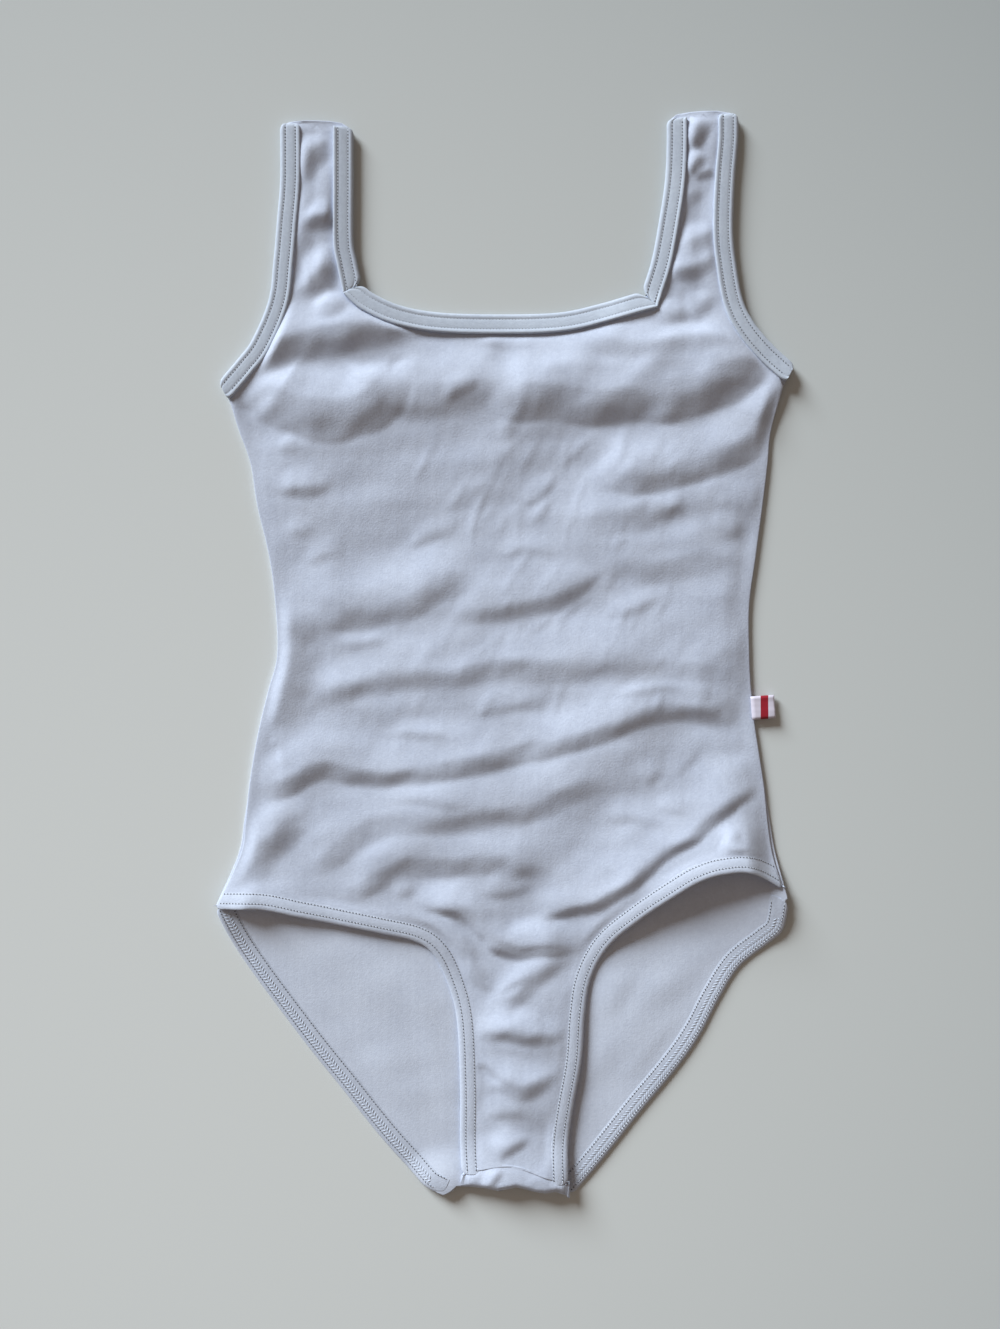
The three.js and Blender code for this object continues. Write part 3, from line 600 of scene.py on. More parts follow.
def front_folds(xy):
    """Height that folds and rumples add to the front."""
    rise = ease(distance_to(["side_left", "side_right"], xy) / FOLD_RISE)
    past_binding = distance_to(FRONT_BINDINGS, xy) - BINDING_WIDTH + FOLDS_UNDER_BINDING
    past_hem = distance_to(FRONT_HEMS, xy) - FRONT_HEM_WIDTH - FOLDS_PAST_HEM
    room = ease(past_binding / BINDING_RAMP) * ease(past_hem / HEM_RAMP)
    moved = xy + WANDER * np.column_stack([wander_x(xy), wander_y(xy)])
    moved += WAVER * np.column_stack([waver_x(xy), waver_y(xy)])
    height = sum(fold_height(f, moved) for f in FRONT_FOLDS)
    height += sum(fold_height(f, xy) for f in DRAWER_CREASES)
    height += BROAD_RUMPLE_HEIGHT * broad_rumple(xy) + RUMPLE_HEIGHT * rumple(xy)
    height += FINE_RUMPLE_HEIGHT * fine_rumple(xy)
    return rise * room * height


def front_top(xy):
    """Top of the front's cloth."""
    pressed = NECK_PRESS * (1 - ease((distance_to(["neck"], xy) - BINDING_WIDTH) / NECK_RAMP))
    return np.maximum(front_base(xy) + front_folds(xy) - pressed, LOWEST) + CLOTH


# %% [markdown]
# At the side seams and at the shoulder ends the front and the back turn into each other. Every piece
# is drawn towards the seam's height there on a quarter round, as cloth folded at a seam is. At the
# hips the leg openings' elastic pulls the corners up off the surface, front and back together, and
# the firm end of the right armhole's binding stands up a little too.

# %% Rounding at seams and lifted corners
Sides = namedtuple("Sides", "edges seam_height")
FRONT_SIDES = Sides(["side_left", "side_right"], 2.1)
BACK_SIDES = Sides(["back_side_left", "back_side_right"], 1.1)
SHOULDER_HEIGHT = 2.8
SIDE_ROUND, SIDE_KEPT = 6.0, 0.12
SHOULDER_ROUND, SHOULDER_KEPT = 3.2, 0.05
LIFT_POWER = 1.5
SHOULDER_ENDS = [[(-140, 320), (-86, 318)], [(92, 323), (146, 326)]]
Lift = namedtuple("Lift", "x y reach height")
LIFTS = table(
    Lift,
    (-176, -151, 46, 4.4),
    (169, -148, 40, 4.0),
    (168, 158, 34, 1.6),
)


def quarter_round(distance, radius):
    """Height of a quarter circle, from 0 at the seam to 1 a radius away."""
    return np.sqrt(np.clip(1 - (1 - np.clip(distance / radius, 0, 1)) ** 2, 0.0, 1))


def settled(points, sides):
    """Draws heights towards the seams near the side edges and shoulder ends, and lifts the corners."""
    xy, z = points[:, :2], points[:, 2]
    side = quarter_round(distance_to(sides.edges, xy), SIDE_ROUND)
    z = sides.seam_height + (z - sides.seam_height) * np.maximum(side, SIDE_KEPT)
    shoulder = np.min([nearest_on(end, xy)[0] for end in SHOULDER_ENDS], axis=0)
    kept = np.maximum(quarter_round(shoulder, SHOULDER_ROUND), SHOULDER_KEPT)
    z = SHOULDER_HEIGHT + (z - SHOULDER_HEIGHT) * kept
    for lift in LIFTS:
        away = np.hypot(xy[:, 0] - lift.x, xy[:, 1] - lift.y)
        z = z + lift.height * ease(1 - away / lift.reach) ** LIFT_POWER
    return np.column_stack([xy, z])


# %% [markdown]
# ## Cloth
# Each panel is a thin shell. Its outline is filled with fine triangles, small enough to carry a
# 3 mm crease, each point is lifted to the height of the cloth there, and a Solidify modifier gives
# the sheet its thickness. Triangles from a Delaunay fill follow the curved edges better than a grid,
# and a few rings of points along the edge keep its round turn smooth.

# %% Cloth shells
def inside(outline, xy):
    """Which points lie inside an outline."""
    within = np.zeros(len(xy), bool)
    for (x0, y0), (x1, y1) in zip(outline, np.roll(outline, -1, axis=0)):
        crossing = (y0 > xy[:, 1]) != (y1 > xy[:, 1])
        if y0 != y1:
            within ^= crossing & (xy[:, 0] < x0 + (xy[:, 1] - y0) * (x1 - x0) / (y1 - y0))
    return within


EDGE_RINGS = (0.5, 1.2, 2.2, 3.6)
RING_GAP, RING_SLACK = 0.55, 0.97


def filled_outline(outline, spacing):
    """Points and triangles that fill an outline: rings along its edge, then staggered rows."""
    low, high = outline.min(0), outline.max(0)
    rows = []
    for j, y in enumerate(np.arange(low[1], high[1], spacing * math.sqrt(3) / 2)):
        across = np.arange(low[0] + (j % 2) * spacing / 2, high[0], spacing)
        rows.append(np.column_stack([across, np.full_like(across, y)]))
    grid = np.vstack(rows)
    grid = grid[inside(outline, grid)]
    closed = np.vstack([outline, outline[:1]])
    grid = grid[nearest_on(closed, grid)[0] > EDGE_RINGS[-1] + spacing * RING_GAP]
    rings = [closed + inward_vectors(closed) * inset for inset in EDGE_RINGS]
    rings = [ring[nearest_on(closed, ring)[0] > inset * RING_SLACK] for ring, inset in zip(rings, EDGE_RINGS)]
    rings = [ring[inside(outline, ring)] for ring in rings]
    points = [Vector(p) for p in np.vstack([outline, grid] + rings)]
    filled = delaunay_2d_cdt(points, [], [list(range(len(outline)))], 1, 1e-5)
    return np.array([tuple(p) for p in filled[0]]), filled[2]


def link_mesh(name, vertices, faces, material):
    """A smooth mesh object from millimetres."""
    mesh = bpy.data.meshes.new(name)
    mesh.from_pydata((np.asarray(vertices) * MM).tolist(), [], [tuple(f) for f in faces])
    mesh.validate()
    mesh.materials.append(material)
    mesh.polygons.foreach_set("use_smooth", [True] * len(mesh.polygons))
    made = bpy.data.objects.new(name, mesh)
    bpy.context.scene.collection.objects.link(made)
    return made


def apply_modifiers(made):
    """Keeps the result of an object's modifiers as its mesh."""
    graph = bpy.context.evaluated_depsgraph_get()
    mesh = bpy.data.meshes.new_from_object(made.evaluated_get(graph))
    made.modifiers.clear()
    made.data = mesh
    return made


def cloth_shell(name, outline, spacing, top, sides, material, thickness=CLOTH):
    """A panel of cloth: outline filled, lifted to top(xy), drawn to the seams and thickened downwards."""
    xy, faces = filled_outline(outline, spacing)
    points = settled(np.column_stack([xy, top(xy)]), sides)
    made = link_mesh(name, points, faces, material)
    shell = made.modifiers.new("thickness", "SOLIDIFY")
    shell.thickness = thickness * MM
    shell.offset = -1
    apply_modifiers(made)
    print(name, len(made.data.vertices), "vertices,", len(made.data.polygons), "faces")
    return made


# %% [markdown]
# ## Brushed jersey
# The panels are cotton and elastane single jersey, brushed on the face. Its upright wales are under
# half a millimetre apart, too fine to show here. What is drawn is the very faint upright ribbing
# that uneven needles leave, 5.65 mm apart. Brushing raises a short nap, which takes away all gloss,
# scatters light at grazing angles (sheen), and leaves a soft mottle a few millimetres wide. The dye
# is an optic white, a little blue. The inner side isn't brushed, so its nap is lower. Its colour is
# painted a shade lighter too: painted light for the back where it lies in shade in the leg openings.

# %% Material: brushed cotton jersey
WAVE_TURN = 2 * math.pi / 20
RIB_RELIEF, NAP_RELIEF = 0.15, 0.4
MOTTLE_SCALE, CLOUD_SCALE, NAP_SCALE = 420.0, 38.0, 800.0
MOTTLE_SHARE, CLOUD_SHARE = 0.6, 0.4
TONE_STOPS = (0.34, 0.66)


def knit_material(name, colour, shade, rib_mm, rib_depth, nap_depth, roughness, sheen):
    """A brushed knit: mottled white, faint ribs, fine nap and sheen."""
    material, tree, output = new_material(name)
    place = node(tree, "NewGeometry").outputs["Position"]
    mottle = node(tree, "TexNoise", Vector=place, Scale=MOTTLE_SCALE, Detail=5.0, Roughness=0.7)
    cloud = node(tree, "TexNoise", Vector=place, Scale=CLOUD_SCALE, Detail=3.0)
    clouded = node(tree, "Math", {"operation": "MULTIPLY"}, i0=cloud.outputs["Fac"], i1=CLOUD_SHARE)
    mixed = node(tree, "Math", {"operation": "MULTIPLY_ADD"}, i0=mottle.outputs["Fac"], i1=MOTTLE_SHARE,
                 i2=clouded.outputs[0])
    tint = node(tree, "ValToRGB", Fac=mixed.outputs[0])
    for stop, position, tone in zip(tint.color_ramp.elements, TONE_STOPS, (shade, colour)):
        stop.position = position
        stop.color = linear(tone)
    ribs = node(tree, "TexWave", {"bands_direction": "X"}, Vector=place, Scale=WAVE_TURN / (rib_mm * MM),
                Distortion=0.6, Detail=1.0, Detail_Scale=2.0)
    nap = node(tree, "TexNoise", Vector=place, Scale=NAP_SCALE, Detail=4.0, Roughness=0.7)
    rib_bump = node(tree, "Bump", Height=ribs.outputs["Fac"], Strength=rib_depth, Distance=RIB_RELIEF * MM)
    nap_bump = node(tree, "Bump", Height=nap.outputs["Fac"], Strength=nap_depth, Distance=NAP_RELIEF * MM,
                    Normal=rib_bump.outputs["Normal"])
    cloth = node(tree, "BsdfPrincipled", Base_Color=tint.outputs["Color"], Roughness=roughness,
                 Normal=nap_bump.outputs["Normal"])
    cloth.inputs["IOR"].default_value = 1.5
    cloth.inputs["Specular IOR Level"].default_value = 0.25
    cloth.inputs["Sheen Weight"].default_value = sheen
    cloth.inputs["Sheen Roughness"].default_value = 0.55
    tree.links.new(cloth.outputs["BSDF"], output.inputs["Surface"])
    return material


JERSEY_RIB, BINDING_RIB = 5.655, 6.91
JERSEY = knit_material("brushed_cotton_jersey", "#ced6e8", "#bec6d9", JERSEY_RIB, 0.10, 0.5, 0.95, 0.18)
# The inner side's lighter colour is painted light, for the shade inside the leg openings.
INNER_JERSEY_PAINTED_LIGHT = knit_material("jersey_inner_side_painted_light", "#d8e0f1", "#cad2e4", JERSEY_RIB, 0.09, 0.35, 0.95, 0.14)
HEM_JERSEY = knit_material("turned_hem_jersey", "#cfd7e8", "#c1c9da", JERSEY_RIB, 0.12, 0.5, 0.93, 0.18)

# %% [markdown]
# The bindings are cut from a smoother, firmer knit of the same white, on the cross, and the iron has
# flattened its nap. It looks a little cooler and shows its ribs a little more.

# %% Material: binding knit
BINDING_KNIT = knit_material("firm_binding_knit", "#c8d1df", "#b8c1d0", BINDING_RIB, 0.2, 0.45, 0.9, 0.14)

# %% [markdown]
# ## The back
# The back lies on the surface. Only its inner side shows, through the leg openings, and there it is
# nearly flat, with a few long faint waves. A low scoop at its neck is hidden by the front. At the
# lower left its tip is plump, where the seams meet.

# %% Back panel
BINDING_OVERLAP, HEM_OVERLAP = 3, 2
back_outline = joined(
    EDGE["armhole_left"], EDGE["back_side_left"], EDGE["leg_back_left"], EDGE["crotch_tip"],
    EDGE["crotch_fold"], EDGE["leg_back_right"], EDGE["back_side_right"], EDGE["armhole_right"],
    EDGE["neck_back"],
)
back_cut = joined(
    moved_in(EDGE["armhole_left"], BINDING_OVERLAP), EDGE["back_side_left"][:-1],
    moved_in(EDGE["leg_back_left"][:-5], HEM_OVERLAP), EDGE["leg_back_left"][-3:],
    EDGE["crotch_tip"], EDGE["crotch_fold"][:-1], moved_in(EDGE["leg_back_right"], HEM_OVERLAP),
    EDGE["back_side_right"][1:], moved_in(EDGE["armhole_right"], BINDING_OVERLAP),
    moved_in(EDGE["neck_back"], BINDING_OVERLAP),
)
BACK_WAVES = table(
    Fold,
    (0.7, 22, 18, 0, [(50, -260), (76, -232), (100, -205), (128, -180)]),
    (0.6, 20, 16, 0, [(70, -262), (92, -240), (112, -215)]),
    (0.6, 26, 20, 0, [(-130, -170), (-100, -200), (-70, -215), (-40, -225)]),
    (0.6, 24, 18, 0, [(-96, -232), (-70, -262), (-46, -285)]),
    (0.5, 18, 14, 0, [(-60, -190), (-48, -240), (-36, -290)]),
    (0.8, 14, 10, 0.3, [(64, -222), (70, -205), (82, -190)]),
)
TIP = Swell(-36, -318, 30, 24, 4.0)
BACK_HEM_RAMP, INNER_RUMPLE = 10.0, 0.15
BACK_SPACING, BACK_THICKNESS = 3.4, 1.1


def back_level(xy):
    """Underside of the back: on the surface, but for its plump tip."""
    return swell_height(TIP, xy)


def back_top(xy):
    """Top of the back's cloth, which is its inner side."""
    room = ease((distance_to(["leg_back_left", "leg_back_right"], xy) - BACK_HEM_WIDTH) / BACK_HEM_RAMP)
    waves = sum(fold_height(f, xy) for f in BACK_WAVES) + INNER_RUMPLE * rumple(xy)
    return PANEL_TOP + back_level(xy) + room * waves


back_cloth = cloth_shell("back_cloth", back_cut[:-1], BACK_SPACING, back_top, BACK_SIDES, INNER_JERSEY_PAINTED_LIGHT,
                         BACK_THICKNESS)

# %% [markdown]
# ## The front
# One piece from the shoulders to the crotch seam, with all the folds. Its raw edges end inside the
# bindings and hems, and between the bindings it bulges a little over the shoulder ends.

# %% Front panel
FRONT_SPACING = 2.1
SHOULDER_BULGE_LEFT = [(-98, 319.5), (-105, 320.6), (-113, 321), (-121, 320.8), (-128, 320)]
SHOULDER_BULGE_RIGHT = [(135, 325.6), (127, 326.6), (119, 326.9), (111, 326.2), (103, 324.6)]
front_outline = joined(
    EDGE["armhole_left"], EDGE["side_left"], EDGE["leg_front_left"], EDGE["crotch_seam"],
    EDGE["leg_front_right"], EDGE["side_right"], EDGE["armhole_right"], EDGE["neck"],
)
front_cut = joined(
    moved_in(EDGE["armhole_left"], BINDING_OVERLAP), EDGE["side_left"][:-1],
    moved_in(EDGE["leg_front_left"], HEM_OVERLAP), EDGE["crotch_seam"],
    moved_in(EDGE["leg_front_right"], HEM_OVERLAP), EDGE["side_right"][1:],
    moved_in(EDGE["armhole_right"], BINDING_OVERLAP), SHOULDER_BULGE_RIGHT,
    moved_in(EDGE["neck"], BINDING_OVERLAP), SHOULDER_BULGE_LEFT,
)
front_cloth = cloth_shell("front_cloth", front_cut, FRONT_SPACING, front_top, FRONT_SIDES, JERSEY)

# %% [markdown]
# ## Bindings
# A binding is a strip of knit folded over the raw edge and sewn down with two rows. Across its width
# it has a round outer fold, a shallow groove at each row, a soft middle between them, and a proud
# inner bead, where the strip's own edge is turned under. It is swept along the edge: the same
# section of points at every 2 mm and closer at the ends, where its corners are rounded off.

# %% Sweeping a band along an edge
Corner = namedtuple("Corner", "inward over")
Layer = namedtuple("Layer", "base sides section material")
END_ROUND, END_WIDTH = 4.0, 0.55
END_RINGS = (0.3, 0.8, 1.5)
END_REACH = 16.0


def ring_faces(count, size):
    """Faces between neighbouring closed rings of points."""
    return [
        (i * size + k, i * size + (k + 1) % size, (i + 1) * size + (k + 1) % size, (i + 1) * size + k)
        for i in range(count - 1) for k in range(size)
    ]


def swept_band(name, edge, layer, start=None, end=None, inward=None, pivot=6.0, sink=0.0, sink_start=0.0):
    """A closed band along an edge, on the cloth whose underside is layer.base.

    layer.section holds the corners round its profile, start and end slant the ends, pivot is where
    the rounded ends narrow to, and sink and sink_start are how far its two ends sink into the panel.
    """
    inward = inward_vectors(edge) if inward is None else inward
    along = length_along(edge)
    length = along[-1]
    at = np.unique(np.concatenate([along, END_RINGS, length - np.array(END_RINGS)]).round(3))
    edge, inward = at_lengths(at, along, edge), at_lengths(at, along, inward)
    for slant, away in ((start, at), (end, length - at)):
        if slant is not None:
            pull = ease(1 - away / END_REACH)[:, None]
            across = np.array(slant, float) / np.linalg.norm(slant)
            blended = inward * (1 - pull) + across * pull
            unit = inward / np.linalg.norm(inward, axis=1)[:, None]
            inward = blended / (blended * unit).sum(1)[:, None]
    narrowed = END_WIDTH + (1 - END_WIDTH) * quarter_round(np.minimum(at, length - at), END_ROUND)
    sunk = 1 - sink * ease(1 - (length - at) / END_REACH) - sink_start * ease(1 - at / END_REACH)
    rings = [edge + inward * (pivot + (c.inward - pivot) * narrowed)[:, None] for c in layer.section]
    heights = [layer.base(ring) + c.over * sunk for ring, c in zip(rings, layer.section)]
    points = np.stack([np.column_stack([ring, z]) for ring, z in zip(rings, heights)], axis=1)
    count, size = len(edge), len(layer.section)
    faces = ring_faces(count, size) + [tuple(range(size))[::-1]]
    faces.append(tuple((count - 1) * size + k for k in range(size)))
    return link_mesh(name, settled(points.reshape(-1, 3), layer.sides), faces, layer.material)


def together(name, pieces):
    """Several pieces as one mesh object."""
    bpy.ops.object.select_all(action="DESELECT")
    for piece in pieces:
        piece.select_set(True)
    bpy.context.view_layer.objects.active = pieces[0]
    bpy.ops.object.join()
    pieces[0].name = name
    return pieces[0]


def binding_section(bead, raised=0.0):
    """The section of a folded binding. bead is how proud its inner edge stands."""
    under = table(Corner, (0.6, 0.1), (6, 0.1), (11.4, 0.1))
    inner_bead = table(
        Corner,
        (11.9, 0.5), (12.1, 1.1 + 0.3 * bead), (12.1, 1.5 + 0.7 * bead), (11.9, 1.88 + bead),
        (11.5, 2.08 + bead), (11.0, 2.13 + bead), (10.5, 2.08 + 0.95 * bead), (10.0, 1.96 + 0.85 * bead),
        (9.6, 1.8 + 0.75 * bead), (9.2, 1.7 + 0.7 * bead),
    )
    middle = table(
        Corner,
        (8.8, 1.82 + 0.62 * bead), (8.3, 1.94 + 0.5 * bead), (7.0, 2.0 + 0.35 * bead),
        (5.8, 2.0 + 0.2 * bead), (4.8, 1.99 + 0.1 * bead), (4.1, 1.94), (3.6, 1.83), (3.2, 1.7),
    )
    outer_fold = table(
        Corner,
        (2.8, 1.83), (2.2, 1.96), (1.5, 1.94), (0.9, 1.72), (0.4, 1.38), (0.1, 0.95), (0.0, 0.7),
        (0.15, 0.4),
    )
    return under + [Corner(c.inward, c.over + raised) for c in inner_bead + middle + outer_fold]


def floor_level(xy):
    """Underside of what lies on the surface."""
    return np.zeros(len(xy))


ARMHOLE_BEAD, NECK_BEAD, BACK_BEAD, MITRE_LAP = 0.25, 0.8, 0.2, 0.3
FRONT_BINDING = Layer(front_base, FRONT_SIDES, binding_section(ARMHOLE_BEAD), BINDING_KNIT)
BACK_BINDING = Layer(floor_level, BACK_SIDES, binding_section(BACK_BEAD), BINDING_KNIT)
UNDERARM_SLANT_LEFT, UNDERARM_SLANT_RIGHT = (7, -13), (-7, -13)
neck_inward = inward_vectors(EDGE["neck"])
right_corner = len(EDGE["neck_right"]) - 1
left_corner = right_corner + len(EDGE["neck_front"]) - 1
neck_parts = []
for first, last, raised in ((0, right_corner, 0), (right_corner, left_corner, MITRE_LAP),
                            (left_corner, len(neck_inward) - 1, 0)):
    part = slice(first, last + 1)
    layer = FRONT_BINDING._replace(section=binding_section(NECK_BEAD, raised))
    neck_parts.append(swept_band("neck_binding_part", EDGE["neck"][part], layer, inward=neck_inward[part],
                                 pivot=BINDING_WIDTH))
neck_binding = together("neck_binding", neck_parts)


def armhole_pair(ending, layer):
    """The left and the right armhole binding on one layer."""
    return (
        swept_band(f"armhole_binding_left{ending}", EDGE["armhole_left"], layer, end=UNDERARM_SLANT_LEFT),
        swept_band(f"armhole_binding_right{ending}", EDGE["armhole_right"], layer,
                   start=UNDERARM_SLANT_RIGHT),
    )


armhole_left, armhole_right = armhole_pair("", FRONT_BINDING)
neck_binding_behind = swept_band("neck_binding_behind", EDGE["neck_back"], BACK_BINDING)
armhole_left_behind, armhole_right_behind = armhole_pair("_behind", BACK_BINDING)
print("bindings made, neck edge", len(EDGE["neck"]), "rings")

# %% [markdown]
# ## Leg hems
# The leg edges are turned in over elastic and sewn with a two-needle machine. From outside, on the
# front, that is a round edge and two dotted rows. From inside, on the back, the turned cloth lies on
# top, with the looper thread zigzagging between its rows.

# %% Hems
FRONT_HEM_SECTION = table(
    Corner,
    (0.5, 0.15), (4, 0.1), (8, 0.1), (9.8, 0.1), (10.4, 0.4), (10.3, 0.78), (9.8, 0.9), (9.3, 0.96),
    (8.9, 0.98), (8.5, 1.08), (7.6, 1.24), (6.5, 1.34), (5.2, 1.38), (4.4, 1.37), (3.9, 1.33),
    (3.5, 1.28), (3.1, 1.33), (2.6, 1.38), (1.9, 1.36), (1.2, 1.24), (0.6, 1.0), (0.2, 0.75), (0.0, 0.5),
    (0.15, 0.3),
)
BACK_HEM_SECTION = table(
    Corner,
    (0.5, 0.1), (5, 0.1), (11.4, 0.1), (12.3, 0.7), (12.3, 1.0), (11.8, 1.2), (11.1, 1.42), (10.6, 1.54),
    (10.2, 1.58), (9.8, 1.66), (8.6, 1.76), (7.4, 1.78), (6.2, 1.78), (5.0, 1.8), (3.8, 1.84),
    (3.0, 1.84), (2.5, 1.78), (2.1, 1.82), (1.5, 1.78), (0.8, 1.55), (0.3, 1.2), (0.0, 0.8), (0.15, 0.4),
)
HIP_SLANT_LEFT, HIP_SLANT_RIGHT = (7, 12), (-5, 12)
BACK_HIP_SLANT_LEFT, BACK_HIP_SLANT_RIGHT = (12, 4), (-12, 5)
TIP_SINK, SEAM_SINK = 0.25, 0.12
FRONT_HEM = Layer(front_base, FRONT_SIDES, FRONT_HEM_SECTION, HEM_JERSEY)
BACK_HEM = Layer(back_level, BACK_SIDES, BACK_HEM_SECTION, HEM_JERSEY)
hem_left = swept_band(
    "leg_hem_left", EDGE["leg_front_left"], FRONT_HEM, start=HIP_SLANT_LEFT, pivot=FRONT_HEM_WIDTH,
    sink=SEAM_SINK)
hem_right = swept_band(
    "leg_hem_right", EDGE["leg_front_right"], FRONT_HEM, end=HIP_SLANT_RIGHT, pivot=FRONT_HEM_WIDTH,
    sink_start=SEAM_SINK)
hem_left_inside = swept_band(
    "leg_hem_left_inside", EDGE["leg_back_left"], BACK_HEM, start=BACK_HIP_SLANT_LEFT, pivot=BACK_HEM_WIDTH,
    sink=TIP_SINK)
hem_right_inside = swept_band(
    "leg_hem_right_inside", EDGE["leg_back_right"], BACK_HEM._replace(base=floor_level),
    end=BACK_HIP_SLANT_RIGHT, pivot=BACK_HEM_WIDTH)

# %% [markdown]
# ## The crotch
# The back runs on under the crotch and turns up over its fold, where the seam joins it to the front.
# The fold is plump, because four layers meet in it, so it throws the strongest shadow. Its seam edge
# is a thin proud welt that laps the ends of the hems.

# %% Gusset
WELT, HEM_WELT, WELT_LAP, HEM_LAP = 0.15, 0.45, 1.4, 2.0
WELT_EDGE, WELT_RAMP = 2.5, 5.0
GUSSET_SPACING = 1.2
gusset_cut = joined(EDGE["crotch_fold"][:-1], moved_in(EDGE["crotch_seam"], WELT_LAP)[::-1])
GUSSET_FOLDS = table(
    Fold,
    (1.3, 7, 5, 0.3, [(-13, -320), (-6, -314), (-1, -305)]),
    (0.4, 6, 5, 0.2, [(12, -318), (20, -315), (28, -317)]),
)
FOLD_ROUND, FOLD_EDGE = 4.8, 1.6
END_TURN, END_KEPT = 2.6, 0.6
GUSSET_ENDS = [np.array([EDGE["crotch_seam"][k], EDGE["crotch_fold"][k]]) for k in (0, -1)]


def gusset_top(xy):
    """Top of the turned-up end, rounded down to its fold and to its two ends."""
    over_hems = 1 - ease((distance_to(FRONT_HEMS, xy) - FRONT_HEM_WIDTH + HEM_LAP) / WELT_RAMP)
    lap = ease(distance_to(["crotch_seam"], xy) / WELT_EDGE)
    z = front_base(xy) + CLOTH + (WELT + HEM_WELT * over_hems) * (2 * lap - 1)
    z += sum(fold_height(f, xy) for f in GUSSET_FOLDS)
    ends = np.min([nearest_on(end, xy)[0] for end in GUSSET_ENDS], axis=0)
    turn = quarter_round(distance_to(["crotch_fold"], xy), FOLD_ROUND)
    end_turn = END_KEPT + (1 - END_KEPT) * quarter_round(ends, END_TURN)
    return FOLD_EDGE + (z - FOLD_EDGE) * turn * end_turn


gusset_cloth = cloth_shell("gusset_cloth", gusset_cut[:-1], GUSSET_SPACING, gusset_top, FRONT_SIDES, JERSEY)

# %% [markdown]
# ## Stitches
# Thread shows as short plump dashes that sink into the cloth at each end. Between them lies the
# shade in each needle hole, painted as a small dark spindle. One dash is a six-sided spindle, and a
# row is that spindle repeated along an edge at a set distance from it. The stitches lie just under
# 2 mm apart, a usual length on stretch knit.

# %% Sewing rows of stitches
STITCH_PITCH = 1.95
STITCH_LENGTH, THREAD_RADIUS = 1.35, 0.2
HOLE_LENGTH, HOLE_RADIUS = 0.95, 0.42
SPINDLE_SIDES = 6


def spindle(length, radius, rings):
    """A closed spindle along X, centred: points and faces."""
    points = []
    sides = SPINDLE_SIDES
    for i in range(rings):
        share = (i + 0.5) / rings
        r = radius * math.sin(math.pi * share) ** 0.5
        for k in range(sides):
            turn = 2 * math.pi * k / sides
            points.append(((share - 0.5) * length, r * math.cos(turn), r * math.sin(turn)))
    faces = [(a, d, c, b) for a, b, c, d in ring_faces(rings, sides)]
    faces.append(tuple(range(sides)))
    faces.append(tuple((rings - 1) * sides + k for k in range(sides))[::-1])
    return np.array(points), faces


LOOK_AHEAD = 0.5


def run_of(points, pitch, start):
    """Evenly spaced places on a 3-D run, with the direction of the run at each."""
    along = length_along(points)
    at = np.arange(start, along[-1] - pitch / 2, pitch)
    places = at_lengths(at, along, points)
    heading = at_lengths(at + LOOK_AHEAD, along, points) - places
    return places, heading / np.linalg.norm(heading, axis=1)[:, None]


def sewn(name, places, headings, length, radius, material, rings=5):
    """One mesh of spindles at places, each along its heading."""
    template, faces = spindle(length, radius, rings)
    up = np.array([0, 0, 1.0])
    across = np.cross(up, headings)
    across /= np.linalg.norm(across, axis=1)[:, None]
    lift = np.cross(headings, across)
    points = (places[:, None] + template[None, :, :1] * headings[:, None]
              + template[None, :, 1:2] * across[:, None] + template[None, :, 2:] * lift[:, None])
    size = len(template)
    all_faces = [tuple(i * size + v for v in face) for i in range(len(places)) for face in faces]
    return link_mesh(name, points.reshape(-1, 3), all_faces, material)


def row_run(edge, inward, base, over, sides):
    """A run of points in the cloth's surface, a set distance in from an edge."""
    xy = moved_in(edge, inward)
    return settled(np.column_stack([xy, base(xy) + over]), sides)


TWIST_SCALE, TWIST_RELIEF = 120.0, 0.1


def thread_material(name, colour, roughness):
    """Spun thread, or the painted shade in a needle hole: a colour with a faint diagonal twist."""
    material, tree, output = new_material(name)
    place = node(tree, "NewGeometry").outputs["Position"]
    twist = node(tree, "TexWave", {"bands_direction": "DIAGONAL"}, Vector=place, Scale=TWIST_SCALE)
    twist_bump = node(tree, "Bump", Height=twist.outputs["Fac"], Strength=0.4, Distance=TWIST_RELIEF * MM)
    shader = node(tree, "BsdfPrincipled", Base_Color=linear(colour), Roughness=roughness,
                  Normal=twist_bump.outputs["Normal"])
    shader.inputs["Sheen Weight"].default_value = 0.1
    tree.links.new(shader.outputs["BSDF"], output.inputs["Surface"])
    return material


THREAD = thread_material("polyester_sewing_thread", "#e2e8f2", 0.6)
LOOPER_THREAD = thread_material("textured_looper_thread", "#ced7e6", 0.75)
# The needle holes are painted shade: a dark spindle stands for the shadow in each hole.
HOLE_SHADE = thread_material("shaded_needle_hole", "#62656f", 0.95)

# %% [markdown]
# Each binding has a row at 3.2 mm and one at 9.2 mm, each front hem has rows at 3.5 mm and 8.9 mm,
# and each hem inside the back has a row by the edge, the loopers, and a row where the turned cloth
# ends.

# %% Rows on bindings and hems
Row = namedtuple("Row", "edge base sides inward over within")
SIDE_MARGIN, TIP_MARGIN = 1.5, 8.0
BINDING_ROWS = [
    Row(edge, front_base, FRONT_SIDES, inward, over, front_outline)
    for edge, bead in (("neck", NECK_BEAD), ("armhole_left", ARMHOLE_BEAD), ("armhole_right", ARMHOLE_BEAD))
    for inward, over in ((3.2, 1.72), (9.2, 1.72 + 0.7 * bead))
]
HEM_ROWS = [
    Row(edge, front_base, FRONT_SIDES, inward, over, front_outline)
    for edge in FRONT_HEMS for inward, over in ((3.5, 1.28), (8.9, 0.98))
]
INSIDE_ROWS = [
    Row(edge, back_level, BACK_SIDES, inward, over, back_outline)
    for edge in ("leg_back_left", "leg_back_right") for inward, over in ((2.5, 1.8), (10.2, 1.6))
]


